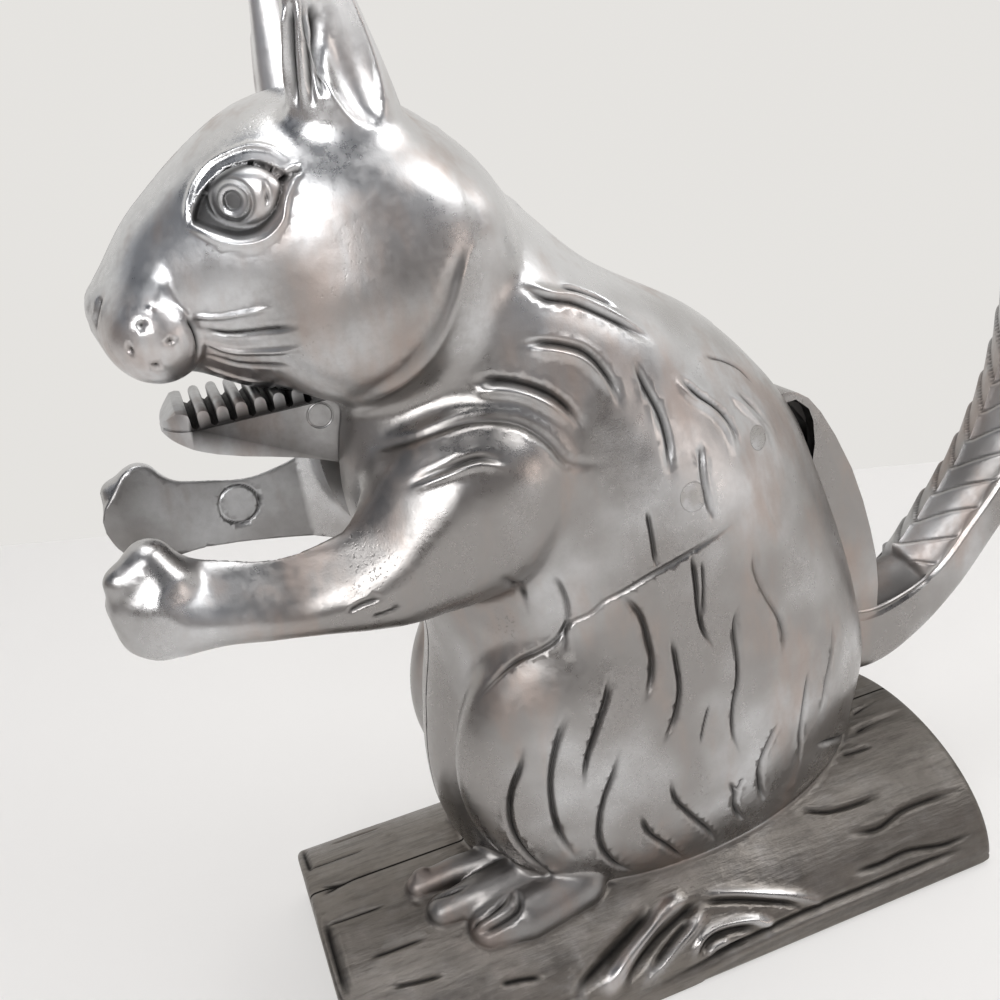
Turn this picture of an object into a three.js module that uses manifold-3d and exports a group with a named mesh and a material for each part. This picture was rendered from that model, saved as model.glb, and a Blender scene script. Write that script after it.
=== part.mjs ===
// Squirrel-shaped lever nutcracker on a log base, in cast aluminium.
// Millimetres, +Z up, nose towards -X, tail towards +X, the animal's left side towards -Y.
// Two hollow half castings meet on the plane Y = 0 and are joined by rivets.
// Between them one lever casting (toothed jaw in front, tail behind) turns on a pivot pin.
import * as THREE from "three";
import { mergeVertices } from "three/addons/utils/BufferGeometryUtils.js";
import Module from "manifold-3d";

const wasm = await Module();
wasm.setup();

// Fits and walls
const WALL = 3.2;
const SEAM_GAP = 0.3;
const SEAT_GAP = 0.3;
const RUNNING_GAP = 0.7;
const OVERRUN = 60;

// Log base
const LOG_LENGTH = 140;
const LOG_WIDTH = 69;
const LOG_HEIGHT = 26;
const LOG_LIP = 2.4;
const LOG_FLOOR = 4;

// Torso: its middle lies a little behind the log's middle and it sinks into the log
const TORSO_MIDDLE = 10;
const TORSO_SINK = 8;
const TORSO_HEIGHT = 142;
const TORSO_DEPTH = 102;
const TORSO_WIDTH = 61;

// Head: the nose's reach ahead of the torso's middle, the chin's height over the log
const NOSE_REACH = 89.5;
const CHIN_RISE = 100;
const HEAD_LENGTH = 72;
const HEAD_HEIGHT = 51;
const HEAD_WIDTH = 49;
const MUZZLE_RADIUS = 8.2;
const CHEEK_LENGTH = 38;
const CHEEK_HEIGHT = 29;
const CHEEK_WIDTH = 25;

// Ears
const EAR_HEIGHT = 37;
const EAR_WIDTH = 16.6;
const EAR_THICKNESS = 9.6;
const EAR_SPREAD = 14;
const EAR_BOWL_DEPTH = 2.6;

// Eyes
const EYE_LENGTH = 18;
const EYE_HEIGHT = 12.5;
const EYE_DEPTH = 5;
const EYEBALL_LENGTH = 12.2;
const EYEBALL_HEIGHT = 10;

// Arms: flat on their inner side, with the jaw dropping between them
const PAW_REACH = 98.5;
const ARM_RISE = 76;
const ARM_GAP = 45;
const ARM_THICKNESS = 8;
const ARM_DEPTH = 12.4;
const SHOULDER_LENGTH = 42;
const SHOULDER_HEIGHT = 34;
const SHOULDER_WIDTH = 27;
const CHEST_LENGTH = 28;
const CHEST_HEIGHT = 40;

// Thighs, feet and toes; the right foot is set back beside the near one
const THIGH_LENGTH = 85;
const THIGH_HEIGHT = 72;
const THIGH_WIDTH = 30.4;
const FOOT_LENGTH = 31;
const FOOT_WIDTH = 21;
const FOOT_HEIGHT = 12.8;
const FOOT_SETBACK = 14;
const TOE_LENGTH = 17;
const TOE_WIDTH = 6.2;

// Lever: pivot over the torso's middle, toothed jaw, bar, saddle over the back slot and tail
const PIVOT_RISE = 75;
const PIVOT_RADIUS = 2.6;
const PIVOT_BOSS_RADIUS = 7.6;
const LEVER_WIDTH = 13;
const JAW_WIDTH = 20.6;
const JAW_SETBACK = 6.3;
const JAW_RISE = 5.4;
const JAW_LENGTH = 50;
const JAW_DEPTH = 11;
const JAW_BOW = 6;
const MOUTH_GAP = 0.9;
const TOOTH_PITCH = 3.1;
const TOOTH_DEPTH = 2.4;
const TOOTH_COUNT = 7;
const TOOTH_START = 5.6;
const PALATE_THICKNESS = 6;
const BAR_DEPTH = 10;
const BAR_HUB_DEPTH = 14;
const SADDLE_HEIGHT = 71;
const SADDLE_DEPTH = 16;
const SADDLE_WALL = 2.6;
const TAIL_REACH = 91;
const TAIL_RISE = 111;
const TAIL_DEPTH = 24.6;
const TAIL_WIDTH = 21;
const BARB_PITCH = 7.4;
const BARB_DEPTH = 1.4;
const LEAF_START = 15;
const LEAF_RISE = 1.8;

// Slots for the lever in the castings' seam
const FRONT_SLOT_DROP = 9.5;
const FRONT_SLOT_END = 30.6;
const BACK_SLOT_HEIGHT = 95;
const BACK_SLOT_START = 24;
const BACK_SLOT_CORNER = [8.2, 10.2];

// Rivets: only the one behind the pivot reaches the flanks, the others are blind
const RIVET_RADIUS = 2.1;
const BLIND_RIVET_LENGTH = 24;
const RIVET_BOSS_RADIUS = 4.6;

const HALF = 1 / 2;
const QUARTER_TURN = Math.PI / 2;
const HALF_TURN = Math.PI;
const DEGREE = Math.PI / 180;
const EYE_TILT = -14 * DEGREE;
const THIGH_TILT = -20 * DEGREE;
const SHOULDER_TILT = -10 * DEGREE;

// Counts of sides on round forms, and of rows and sides on lofted skins
const BALL_SIDES = 20;
const SMALL_SIDES = 16;
const TOE_SIDES = 12;
const THIGH_SIDES = 26;
const PIN_SIDES = 24;
const RIVET_SIDES = 16;
const LOG_SIDES = 24;
const LOG_INSIDE_SIDES = 12;
const skinCounts = {
  torso: [28, 30],
  torsoInside: [13, 20],
  head: [24, 28],
  headInside: [9, 20],
  ear: [12, 16],
  arm: [22, 14],
};

// Turns a closed geometry into a solid for joining and cutting.
function toSolid(geometry) {
  const bare = geometry.clone();
  bare.deleteAttribute("normal");
  bare.deleteAttribute("uv");
  const merged = mergeVertices(bare);
  const mesh = new wasm.Mesh({
    numProp: 3,
    vertProperties: new Float32Array(merged.attributes.position.array),
    triVerts: new Uint32Array(merged.index.array),
  });
  return new wasm.Manifold(mesh);
}

// Turns a solid back into a geometry with flat-shaded faces.
function toGeometry(solid) {
  const mesh = solid.getMesh();
  const geometry = new THREE.BufferGeometry();
  geometry.setAttribute("position", new THREE.BufferAttribute(mesh.vertProperties, mesh.numProp));
  geometry.setIndex(new THREE.BufferAttribute(mesh.triVerts, 1));
  geometry.computeVertexNormals();
  return geometry;
}

// The largest body of a cut solid, without crumbs thinner than the mesh can hold.
function largest(solid) {
  const bodies = solid.decompose();
  return bodies.reduce((best, body) => (body.volume() > best.volume() ? body : best));
}

// Joins many solids into one.
function joined(solids) {
  return solids.reduce((sum, solid) => sum.add(solid));
}

// Closed skin over a row of rings that all have the same number of points.
function skin(rings) {
  const count = rings[0].length;
  const positions = [];
  const index = [];
  rings.forEach((ring) => ring.forEach((point) => positions.push(point.x, point.y, point.z)));
  for (let row = 0; row + 1 < rings.length; row += 1) {
    for (let i = 0; i < count; i += 1) {
      const next = (i + 1) % count;
      const a = row * count + i;
      const b = row * count + next;
      index.push(a, b, b + count, a, b + count, a + count);
    }
  }
  for (let i = 1; i + 1 < count; i += 1) {
    const last = (rings.length - 1) * count;
    index.push(0, i + 1, i);
    index.push(last, last + i, last + i + 1);
  }
  const geometry = new THREE.BufferGeometry();
  geometry.setAttribute("position", new THREE.Float32BufferAttribute(positions, 3));
  geometry.setIndex(index);
  return geometry;
}

// Smooth rows between hand-chosen rows of five or six numbers.
function smoothRows(rows, count) {
  const first = new THREE.CatmullRomCurve3(rows.map((r) => new THREE.Vector3(r[0], r[1], r[2])));
  const second = new THREE.CatmullRomCurve3(rows.map((r) => new THREE.Vector3(r[3], r[4], r[5] ?? 0)));
  first.curveType = "catmullrom";
  second.curveType = "catmullrom";
  const out = [];
  for (let i = 0; i <= count; i += 1) {
    const a = first.getPoint(i / count);
    const b = second.getPoint(i / count);
    out.push([a.x, a.y, a.z, b.x, b.y, b.z]);
  }
  return out;
}

// Loft through stations [x, y, z, half depth, half width]; each oval ring stands square to the
// direction `along` in the X-Z plane, and `inset` pulls the whole skin inward by a wall.
function loft(stations, along, rows, sides, inset = 0) {
  const smooth = smoothRows(stations, rows);
  const across = new THREE.Vector3(along.z, 0, -along.x);
  const rings = smooth.map((s) => {
    const deep = Math.max(s[3] - inset, SEAM_GAP);
    const wide = Math.max(s[4] - inset, SEAM_GAP);
    return Array.from({ length: sides }, (_, k) => {
      const turn = (k / sides) * 2 * HALF_TURN;
      const point = new THREE.Vector3(s[0], s[1], s[2]);
      point.addScaledVector(across, deep * Math.cos(turn));
      point.y += wide * Math.sin(turn);
      return point;
    });
  });
  return toSolid(skin(rings));
}

const forward = new THREE.Vector3(1, 0, 0);
const upward = new THREE.Vector3(0, 0, 1);

// Ball stretched to three half sizes, turned about Y, at a place.
function ovoid(x, y, z, halfX, halfY, halfZ, tilt = 0, fine = BALL_SIDES) {
  const geometry = new THREE.SphereGeometry(1, fine, Math.round(fine * HALF));
  geometry.scale(halfX, halfY, halfZ);
  geometry.rotateY(tilt);
  geometry.translate(x, y, z);
  return toSolid(geometry);
}

// Box between two corners.
function block(x0, x1, y0, y1, z0, z1) {
  const geometry = new THREE.BoxGeometry(x1 - x0, y1 - y0, z1 - z0);
  geometry.translate((x0 + x1) * HALF, (y0 + y1) * HALF, (z0 + z1) * HALF);
  return toSolid(geometry);
}

// Outline in X and Z, extruded to a slab from y0 to y1.
function slab(outline, y0, y1) {
  const shape = new THREE.Shape(outline.map(([x, z]) => new THREE.Vector2(x, z)));
  const geometry = new THREE.ExtrudeGeometry(shape, { depth: y1 - y0, bevelEnabled: false });
  geometry.rotateX(QUARTER_TURN);
  geometry.translate(0, y1, 0);
  return toSolid(geometry);
}

// Round bar along Y.
function bar(x, z, radius, y0, y1, sides = PIN_SIDES) {
  const geometry = new THREE.CylinderGeometry(radius, radius, y1 - y0, sides);
  geometry.translate(x, (y0 + y1) * HALF, z);
  return toSolid(geometry);
}

// Places that many pieces share
const logTop = LOG_HEIGHT;
const pivot = { x: TORSO_MIDDLE, z: logTop + PIVOT_RISE };
const nose = TORSO_MIDDLE - NOSE_REACH;
const chin = logTop + CHIN_RISE;
const torsoBase = logTop - TORSO_SINK;

// Torso rings from the log upward: front and back as shares of the depth, height as a share of
// the height, half width as a share of half the width.
const torsoShares = [
  [-0.333, 0.294, -0.056, 0.59],
  [-0.382, 0.353, 0, 0.705],
  [-0.45, 0.43, 0.056, 0.82],
  [-0.485, 0.465, 0.127, 0.911],
  [-0.492, 0.495, 0.204, 0.974],
  [-0.475, 0.49, 0.296, 1],
  [-0.443, 0.46, 0.423, 0.993],
  [-0.47, 0.42, 0.521, 0.97],
  [-0.51, 0.377, 0.599, 0.944],
  [-0.53, 0.275, 0.683, 0.895],
  [-0.54, 0.154, 0.775, 0.82],
  [-0.5, -0.04, 0.866, 0.721],
  [-0.49, -0.14, 0.94, 0.607],
  [-0.46, -0.22, 1, 0.459],
  [-0.431, -0.275, 1.042, 0.295],
];

// Head rings from the nose back: place as a share of the length, lowest and highest line as
// shares of the height, half width as a share of half the width.
const headShares = [
  [0.004, 0.382, 0.461, 0.082],
  [0.021, 0.32, 0.51, 0.245],
  [0.062, 0.267, 0.586, 0.367],
  [0.125, 0.225, 0.692, 0.498],
  [0.2, 0.196, 0.784, 0.604],
  [0.3, 0.118, 0.888, 0.751],
  [0.41, 0.059, 0.973, 0.882],
  [0.549, 0.016, 1.008, 0.988],
  [0.688, 0.039, 0.973, 1.02],
  [0.826, 0.137, 0.853, 0.955],
  [0.938, 0.275, 0.686, 0.735],
  [1, 0.412, 0.529, 0.327],
];

// Arm rings from the paw back to the shoulder: reach, place of the inner side as a share of half
// the gap between the arms, rise over the arm's line, half depth, thickness and ridge as shares.
const armShares = [
  [0.994, 0.839, 0.371, 0.097, 0.264, 3.931],
  [0.987, 0.841, 0.355, 0.258, 0.574, 3.897],
  [0.975, 0.843, 0.331, 0.395, 0.755, 3.839],
  [0.948, 0.857, 0.234, 0.573, 1.028, 3.713],
  [0.904, 0.891, 0.21, 0.637, 1.094, 3.441],
  [0.873, 0.914, 0.21, 0.629, 1.053, 3.172],
  [0.832, 0.946, 0.177, 0.605, 0.966, 3.023],
  [0.772, 0.992, 0.097, 0.605, 0.859, 2.902],
  [0.69, 1, 0.016, 0.637, 0.913, 2.829],
  [0.609, 1, -0.04, 0.718, 1.013, 3.028],
  [0.548, 0.889, 0, 0.887, 1.4, 3.295],
  [0.487, 0.689, 0.161, 1.169, 1.962, 3.607],
  [0.386, 0.593, 0.355, 1.371, 2.108, 4.355],
  [0.284, 0.556, 0.444, 1.21, 1.888, 4.355],
  [0.223, 0.533, 0.484, 0.726, 1.5, 4.355],
];

// Knuckles and thumb: reach, distance from the seam, rise and size as shares of the arm's.
const fingerShares = [
  [0.97, 1.031, 0.847, 0.242],
  [0.974, 1.058, 0.395, 0.218],
  [0.958, 1.053, -0.008, 0.274],
  [0.913, 1.04, 0.879, 0.339],
  [0.889, 1.031, 0.613, 0.29],
];

// Ear rings from the skull up: lean back and outward, height, half width and half thickness.
const earShares = [
  [0.082, -0.104, -0.022, 1.145, 1.25],
  [0.082, -0.042, 0.141, 1.108, 1.125],
  [0.064, 0.042, 0.303, 1.012, 0.958],
  [0.028, 0.125, 0.465, 0.892, 0.812],
  [-0.02, 0.208, 0.627, 0.699, 0.667],
  [-0.081, 0.271, 0.789, 0.47, 0.5],
  [-0.129, 0.312, 0.924, 0.241, 0.312],
  [-0.153, 0.333, 1, 0.06, 0.104],
];

// Tail stations from the root out: reach, rise from the pivot's foot, half depth, half width.
const tailShares = [
  [0, 0.134, 0.94, 0.6],
  [0.115, 0.113, 1, 0.62],
  [0.215, 0.134, 0.85, 0.66],
  [0.3, 0.175, 0.7, 0.76],
  [0.41, 0.262, 0.635, 0.78],
  [0.515, 0.354, 0.62, 0.8],
  [0.605, 0.462, 0.65, 0.86],
  [0.67, 0.575, 0.715, 0.93],
  [0.715, 0.698, 0.765, 1],
  [0.75, 0.822, 0.765, 1],
  [0.795, 0.915, 0.7, 0.9],
  [0.865, 0.972, 0.56, 0.72],
  [0.95, 0.995, 0.36, 0.44],
  [1, 1, 0.06, 0.08],
];

// Tail section from the ridge of its roof down one side: out and up.
const tailSectionShares = [
  [0, 1],
  [0.5, 0.84],
  [0.97, 0.42],
  [1, 0.32],
  [0.93, 0.22],
  [1, 0.06],
  [0.98, -0.6],
  [0.7, -0.93],
  [0, -1],
];

// Saddle outline: along its depth and up its height.
const saddleShares = [
  [0.05, 0.985],
  [0.28, 1],
  [0.5, 0.965],
  [0.66, 0.91],
  [0.82, 0.83],
  [0.98, 0.715],
  [1.17, 0.545],
  [1.36, 0.425],
  [1.4, 0.2],
  [1.1, 0.02],
  [0.6, 0],
  [0.3, 0.1],
  [0.25, 0.3],
  [0.2, 0.5],
  [0.1, 0.7],
  [0, 0.9],
];

// Jaw's lower line from the tip back, and its upper line behind the teeth: along and down.
const jawBottomShares = [
  [0, 0.02],
  [0.025, 0.27],
  [0.085, 0.5],
  [0.235, 0.81],
  [0.42, 1.08],
  [0.6, 1.4],
  [0.8, 1.85],
  [1, 2.25],
];
const jawTopShares = [
  [1, 1.15],
  [0.8, 0.62],
  [0.66, 0.27],
  [0.58, 0.07],
];

// Places of features on the head, torso and log: shares of each one's length and height.
const onHeadShares = {
  rivet: [0.66, 0.7],
  muzzle: [0.137, 0.373],
  nose: [0.054, 0.463],
  cheek: [0.632, 0.304],
  ear: [0.62, 0.8],
  eye: [0.368, 0.718],
};
const onTorsoShares = {
  backRivet: [0.167, 0.62],
  rumpRivet: [0.15, 0.175],
  thigh: [-0.064, 0.261],
  foot: [-0.422, 0.046],
  chest: [-0.422, 0.662],
  saddle: [0.29, 0.127],
};
const onLogShares = { rivet: [0.41, 0.44] };

// Place on the head's side, from the nose and the chin.
function onHead([along, up]) {
  return { x: nose + HEAD_LENGTH * along, z: chin + HEAD_HEIGHT * up };
}

// Place on the torso's side, from its middle and its foot.
function onTorso([along, up]) {
  return { x: TORSO_MIDDLE + TORSO_DEPTH * along, z: torsoBase + TORSO_HEIGHT * up };
}

// Place on the log's side, towards the front (-1) or the rear (1).
function onLog([along, up], end) {
  return { x: LOG_LENGTH * along * end, z: LOG_HEIGHT * up };
}

const rivetPlaces = {
  head_rivet: onHead(onHeadShares.rivet),
  back_rivet: onTorso(onTorsoShares.backRivet),
  rump_rivet: onTorso(onTorsoShares.rumpRivet),
  log_front_rivet: onLog(onLogShares.rivet, -1),
  log_rear_rivet: onLog(onLogShares.rivet, 1),
};

// Torso solid, pulled in by `inset`.
function torso(inset) {
  const stations = torsoShares.map(([front, back, up, wide]) => [
    TORSO_MIDDLE + TORSO_DEPTH * (front + back) * HALF,
    0,
    torsoBase + TORSO_HEIGHT * up,
    TORSO_DEPTH * (back - front) * HALF,
    TORSO_WIDTH * HALF * wide,
  ]);
  return loft(stations, upward, ...skinCounts[inset > 0 ? "torsoInside" : "torso"], inset);
}

// Head solid, pulled in by `inset`, its ends drawn in too.
function head(inset) {
  const kept = inset > 0 ? headShares.slice(2, -1) : headShares;
  const stations = kept.map(([along, low, high, wide]) => [
    nose + HEAD_LENGTH * along,
    0,
    chin + HEAD_HEIGHT * (low + high) * HALF,
    HEAD_HEIGHT * (high - low) * HALF,
    HEAD_WIDTH * HALF * wide,
  ]);
  return loft(stations, forward, ...skinCounts[inset > 0 ? "headInside" : "head"], inset);
}

// Round lip with the nose above it, and the full cheek.
function face() {
  const outShares = { muzzle: 1.1, nose: 0.36, cheek: 0.54 };
  const noseShare = 0.43;
  const lip = onHead(onHeadShares.muzzle);
  const tip = onHead(onHeadShares.nose);
  const side = onHead(onHeadShares.cheek);
  const radius = MUZZLE_RADIUS;
  const small = radius * noseShare;
  const cheekHalf = [CHEEK_LENGTH, CHEEK_WIDTH, CHEEK_HEIGHT].map((size) => size * HALF);
  return [
    ovoid(lip.x, -radius * outShares.muzzle, lip.z, radius, radius, radius),
    ovoid(tip.x, -radius * outShares.nose, tip.z, small, small, small, 0, SMALL_SIDES),
    ovoid(side.x, -CHEEK_WIDTH * outShares.cheek, side.z, ...cheekHalf),
  ];
}

// Ear with its bowl on the outer side.
function ear() {
  const bowlShares = { along: 0.15, up: 0.46, halfWidth: 0.36, halfHeight: 0.41 };
  const foot = onHead(onHeadShares.ear);
  const stations = earShares.map(([lean, out, up, wide, thick]) => [
    foot.x + EAR_WIDTH * lean,
    -EAR_SPREAD - EAR_THICKNESS * out,
    foot.z + EAR_HEIGHT * up,
    EAR_WIDTH * HALF * wide,
    EAR_THICKNESS * HALF * thick,
  ]);
  const bowl = ovoid(
    foot.x + EAR_WIDTH * bowlShares.along,
    -EAR_SPREAD - EAR_THICKNESS * HALF,
    foot.z + EAR_HEIGHT * bowlShares.up,
    EAR_WIDTH * bowlShares.halfWidth,
    EAR_BOWL_DEPTH,
    EAR_HEIGHT * bowlShares.halfHeight,
  );
  return loft(stations, upward, ...skinCounts.ear).subtract(bowl);
}

// Almond hollow of the eye and the ball in it.
function eye() {
  const outShare = 0.37;
  const { x, z } = onHead(onHeadShares.eye);
  const y = -HEAD_WIDTH * outShare;
  const half = [EYE_LENGTH, EYE_DEPTH, EYE_HEIGHT].map((size) => size * HALF);
  const ballHalf = [EYEBALL_LENGTH, EYE_DEPTH, EYEBALL_HEIGHT].map((size) => size * HALF);
  const hollow = ovoid(x, y, z, ...half, EYE_TILT, SMALL_SIDES);
  const ball = ovoid(x, y + EYE_DEPTH * HALF, z, ...ballHalf, EYE_TILT, SMALL_SIDES);
  return { hollow, ball };
}

// Arm with its paw: flat on its inner side, round outside, with a slope from its ridge inward.
function forearm() {
  const roundShare = 0.8;
  const slopeShare = 1.25;
  const flatShare = 0.34;
  const [rows, sides] = skinCounts.arm;
  const stations = armShares.map(([reach, inner, rise, deep, thick, ridge]) => [
    TORSO_MIDDLE - PAW_REACH * reach,
    ARM_GAP * HALF * inner,
    logTop + ARM_RISE + ARM_DEPTH * rise,
    ARM_DEPTH * deep,
    ARM_THICKNESS * thick,
    logTop + ARM_RISE + ARM_DEPTH * ridge,
  ]);
  const rings = smoothRows(stations, rows).map(([x, inner, z, deep, thick, ridge]) => {
    return Array.from({ length: sides + 1 }, (_, k) => {
      const turn = (k / sides) * HALF_TURN;
      const up = Math.sign(Math.cos(turn)) * Math.abs(Math.cos(turn)) ** roundShare;
      const out = inner + thick * Math.sin(turn) ** roundShare;
      return new THREE.Vector3(x, -out, Math.min(z + deep * up, ridge - out * slopeShare));
    });
  });
  const fingers = fingerShares.map(([reach, out, rise, size]) => {
    const radius = ARM_DEPTH * size;
    const x = TORSO_MIDDLE - PAW_REACH * reach;
    const z = logTop + ARM_RISE + ARM_DEPTH * rise;
    return ovoid(x, -ARM_GAP * HALF * out, z, radius, ARM_THICKNESS * flatShare, radius, 0, TOE_SIDES);
  });
  return joined([toSolid(skin(rings)), ...fingers]);
}

// Arm with the shoulder and the chest before it.
function arm() {
  const shoulderShares = { reach: 0.355, out: 0.287, rise: 0.565 };
  const shoulder = ovoid(
    TORSO_MIDDLE - PAW_REACH * shoulderShares.reach,
    -TORSO_WIDTH * shoulderShares.out,
    logTop + ARM_RISE + ARM_DEPTH * shoulderShares.rise,
    SHOULDER_LENGTH * HALF,
    SHOULDER_WIDTH * HALF,
    SHOULDER_HEIGHT * HALF,
    SHOULDER_TILT,
  );
  const outShare = 0.15;
  const { x, z } = onTorso(onTorsoShares.chest);
  const half = [CHEST_LENGTH, CHEST_LENGTH, CHEST_HEIGHT].map((size) => size * HALF);
  const chest = ovoid(x, -TORSO_WIDTH * outShare, z, ...half, 0, SMALL_SIDES);
  return joined([forearm(), shoulder, chest]);
}

// Thigh swelling from the flank.
function thigh() {
  const outShare = 0.27;
  const { x, z } = onTorso(onTorsoShares.thigh);
  const half = [THIGH_LENGTH, THIGH_WIDTH, THIGH_HEIGHT].map((size) => size * HALF);
  return ovoid(x, -TORSO_WIDTH * outShare, z, ...half, THIGH_TILT, THIGH_SIDES);
}

// Foot with its toes, lying on the log; `back` moves it towards the tail.
function foot(back) {
  const outShare = 0.196;
  const place = onTorso(onTorsoShares.foot);
  const x = place.x + back;
  const y = -LOG_WIDTH * outShare;
  const half = [FOOT_LENGTH, FOOT_WIDTH, FOOT_HEIGHT].map((size) => size * HALF);
  const toeShares = [
    [0.34, -0.31, 0.12],
    [0.3, -0.01, 0.07],
    [0.19, 0.27, -0.1],
    [0.02, 0.44, -0.29],
  ];
  const toeHalf = [TOE_LENGTH, TOE_WIDTH, TOE_WIDTH].map((size) => size * HALF);
  const toes = toeShares.map(([ahead, out, rise]) => {
    const toe = [x - FOOT_LENGTH * ahead, y - FOOT_WIDTH * out, place.z + FOOT_HEIGHT * rise];
    return ovoid(...toe, ...toeHalf, 0, TOE_SIDES);
  });
  return joined([ovoid(x, y, place.z, ...half), ...toes]);
}

// Log: a half-round section on a low lip, pulled in by `inset`, with its own floor when hollow.
function log(inset) {
  const floor = inset > 0 ? LOG_FLOOR : 0;
  const halfWidth = LOG_WIDTH * HALF - inset;
  const rise = LOG_HEIGHT - inset;
  const arch = new THREE.EllipseCurve(0, LOG_LIP, halfWidth, rise - LOG_LIP, 0, HALF_TURN);
  const shape = new THREE.Shape([
    new THREE.Vector2(-halfWidth, floor),
    new THREE.Vector2(halfWidth, floor),
    ...arch.getPoints(inset > 0 ? LOG_INSIDE_SIDES : LOG_SIDES).filter((point) => point.y > floor),
  ]);
  const length = LOG_LENGTH - 2 * inset;
  const geometry = new THREE.ExtrudeGeometry(shape, { depth: length, bevelEnabled: false });
  geometry.rotateX(QUARTER_TURN);
  geometry.rotateZ(QUARTER_TURN);
  geometry.translate(-length * HALF, 0, 0);
  return toSolid(geometry);
}

// Points of the toothed line from the first tooth back: down into a gullet, up to the next tip.
function toothLine(tipX, topZ) {
  const points = [];
  for (let i = 0; i < TOOTH_COUNT; i += 1) {
    const x = tipX + TOOTH_START + TOOTH_PITCH * i;
    points.push([x, topZ - TOOTH_DEPTH]);
    points.push([x + TOOTH_PITCH * HALF, topZ]);
  }
  return points;
}

const jawTip = nose + JAW_SETBACK;
const jawTop = chin + JAW_RISE;

// Space that the lever needs in front: the mouth under the toothed palate and the chest slot.
function frontSlot() {
  const teeth = toothLine(jawTip, jawTop + MOUTH_GAP);
  const back = teeth[teeth.length - 1][0];
  const front = jawTip + TOOTH_START - TOOTH_PITCH * HALF;
  const deep = pivot.x - FRONT_SLOT_END;
  const low = logTop + ARM_RISE - FRONT_SLOT_DROP;
  const outline = [
    [front, low],
    [deep, low],
    [deep, jawTop + PALATE_THICKNESS],
    [back, jawTop + PALATE_THICKNESS],
    ...teeth.reverse(),
    [front, jawTop + MOUTH_GAP],
  ];
  const halfWidth = JAW_WIDTH * HALF + RUNNING_GAP;
  return slab(outline, -halfWidth, halfWidth);
}

// Space that the saddle and tail need in the back.
function backSlot() {
  const low = logTop + WALL;
  const high = low + BACK_SLOT_HEIGHT;
  const deep = pivot.x + BACK_SLOT_START;
  const [ahead, drop] = BACK_SLOT_CORNER;
  const outline = [
    [deep, low],
    [deep + OVERRUN, low],
    [deep + OVERRUN, high],
    [deep - ahead, high],
    [deep, high - drop],
  ];
  const halfWidth = LEVER_WIDTH * HALF + RUNNING_GAP;
  return slab(outline, -halfWidth, halfWidth);
}

// Hollow inside the pair of castings, with the palate, pivot bosses and rivet bosses left in.
function hollow() {
  const teeth = toothLine(jawTip, jawTop);
  const palate = block(
    nose,
    teeth[teeth.length - 1][0],
    -OVERRUN,
    OVERRUN,
    chin,
    jawTop + PALATE_THICKNESS,
  );
  const bossFace = LEVER_WIDTH * HALF + RUNNING_GAP;
  const bosses = [
    bar(pivot.x, pivot.z, PIVOT_BOSS_RADIUS, -OVERRUN, -bossFace),
    bar(pivot.x, pivot.z, PIVOT_BOSS_RADIUS, bossFace, OVERRUN),
    ...Object.values(rivetPlaces).map(({ x, z }) => {
      return bar(x, z, RIVET_BOSS_RADIUS, -OVERRUN, OVERRUN, RIVET_SIDES);
    }),
  ];
  const skull = head(WALL).subtract(palate);
  return joined([torso(WALL), skull, log(WALL)]).subtract(joined(bosses));
}

// Outer skin of one side of the figure, drawn on the left; `back` sets its foot back.
function sideSkin(back) {
  const { hollow: eyeHollow, ball } = eye();
  const skull = joined([head(0), ...face()]).subtract(eyeHollow).add(ball);
  const limbs = joined([arm(), thigh(), foot(back), ear()]);
  const half = block(-OVERRUN * 3, OVERRUN * 3, -OVERRUN, -SEAM_GAP * HALF, 0, OVERRUN * 4);
  return joined([torso(0), log(0), skull, limbs]).intersect(half);
}

// The same solid on the other side of the seam.
function mirrored(solid) {
  const geometry = toGeometry(solid);
  const flipped = geometry.index.array;
  geometry.scale(1, -1, 1);
  for (let i = 0; i < flipped.length; i += 3) {
    [flipped[i], flipped[i + 1]] = [flipped[i + 1], flipped[i]];
  }
  return toSolid(geometry);
}

const wholeHollow = hollow();
const leftOuter = sideSkin(0);
const rightOuter = sideSkin(FOOT_SETBACK);

// Round space for a rivet, with its fit; only the back rivet's runs through the skin.
function rivetBar([name, { x, z }], fit) {
  const reach = name === "back_rivet" ? OVERRUN : BLIND_RIVET_LENGTH * HALF + fit;
  return bar(x, z, RIVET_RADIUS + fit, -reach, reach, RIVET_SIDES);
}

// Half casting drawn on the left: the skin, less the hollow, the slots and the bores.
function halfCasting(outer) {
  const bores = Object.entries(rivetPlaces).map((entry) => rivetBar(entry, SEAT_GAP));
  bores.push(bar(pivot.x, pivot.z, PIVOT_RADIUS + SEAT_GAP, -OVERRUN, OVERRUN));
  const cut = outer
    .subtract(wholeHollow)
    .subtract(frontSlot())
    .subtract(backSlot())
    .subtract(joined(bores));
  return largest(cut);
}

// Rivet or pin whose ends are ground flush with the figure's two flanks.
function flushPin(x, z, radius, sides) {
  const whole = bar(x, z, radius, -OVERRUN, OVERRUN, sides);
  const reach = block(x - radius, x + radius, -SEAM_GAP, SEAM_GAP, z - radius, z + radius);
  const left = leftOuter.intersect(whole);
  return joined([left, mirrored(left), whole.intersect(reach)]);
}

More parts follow.
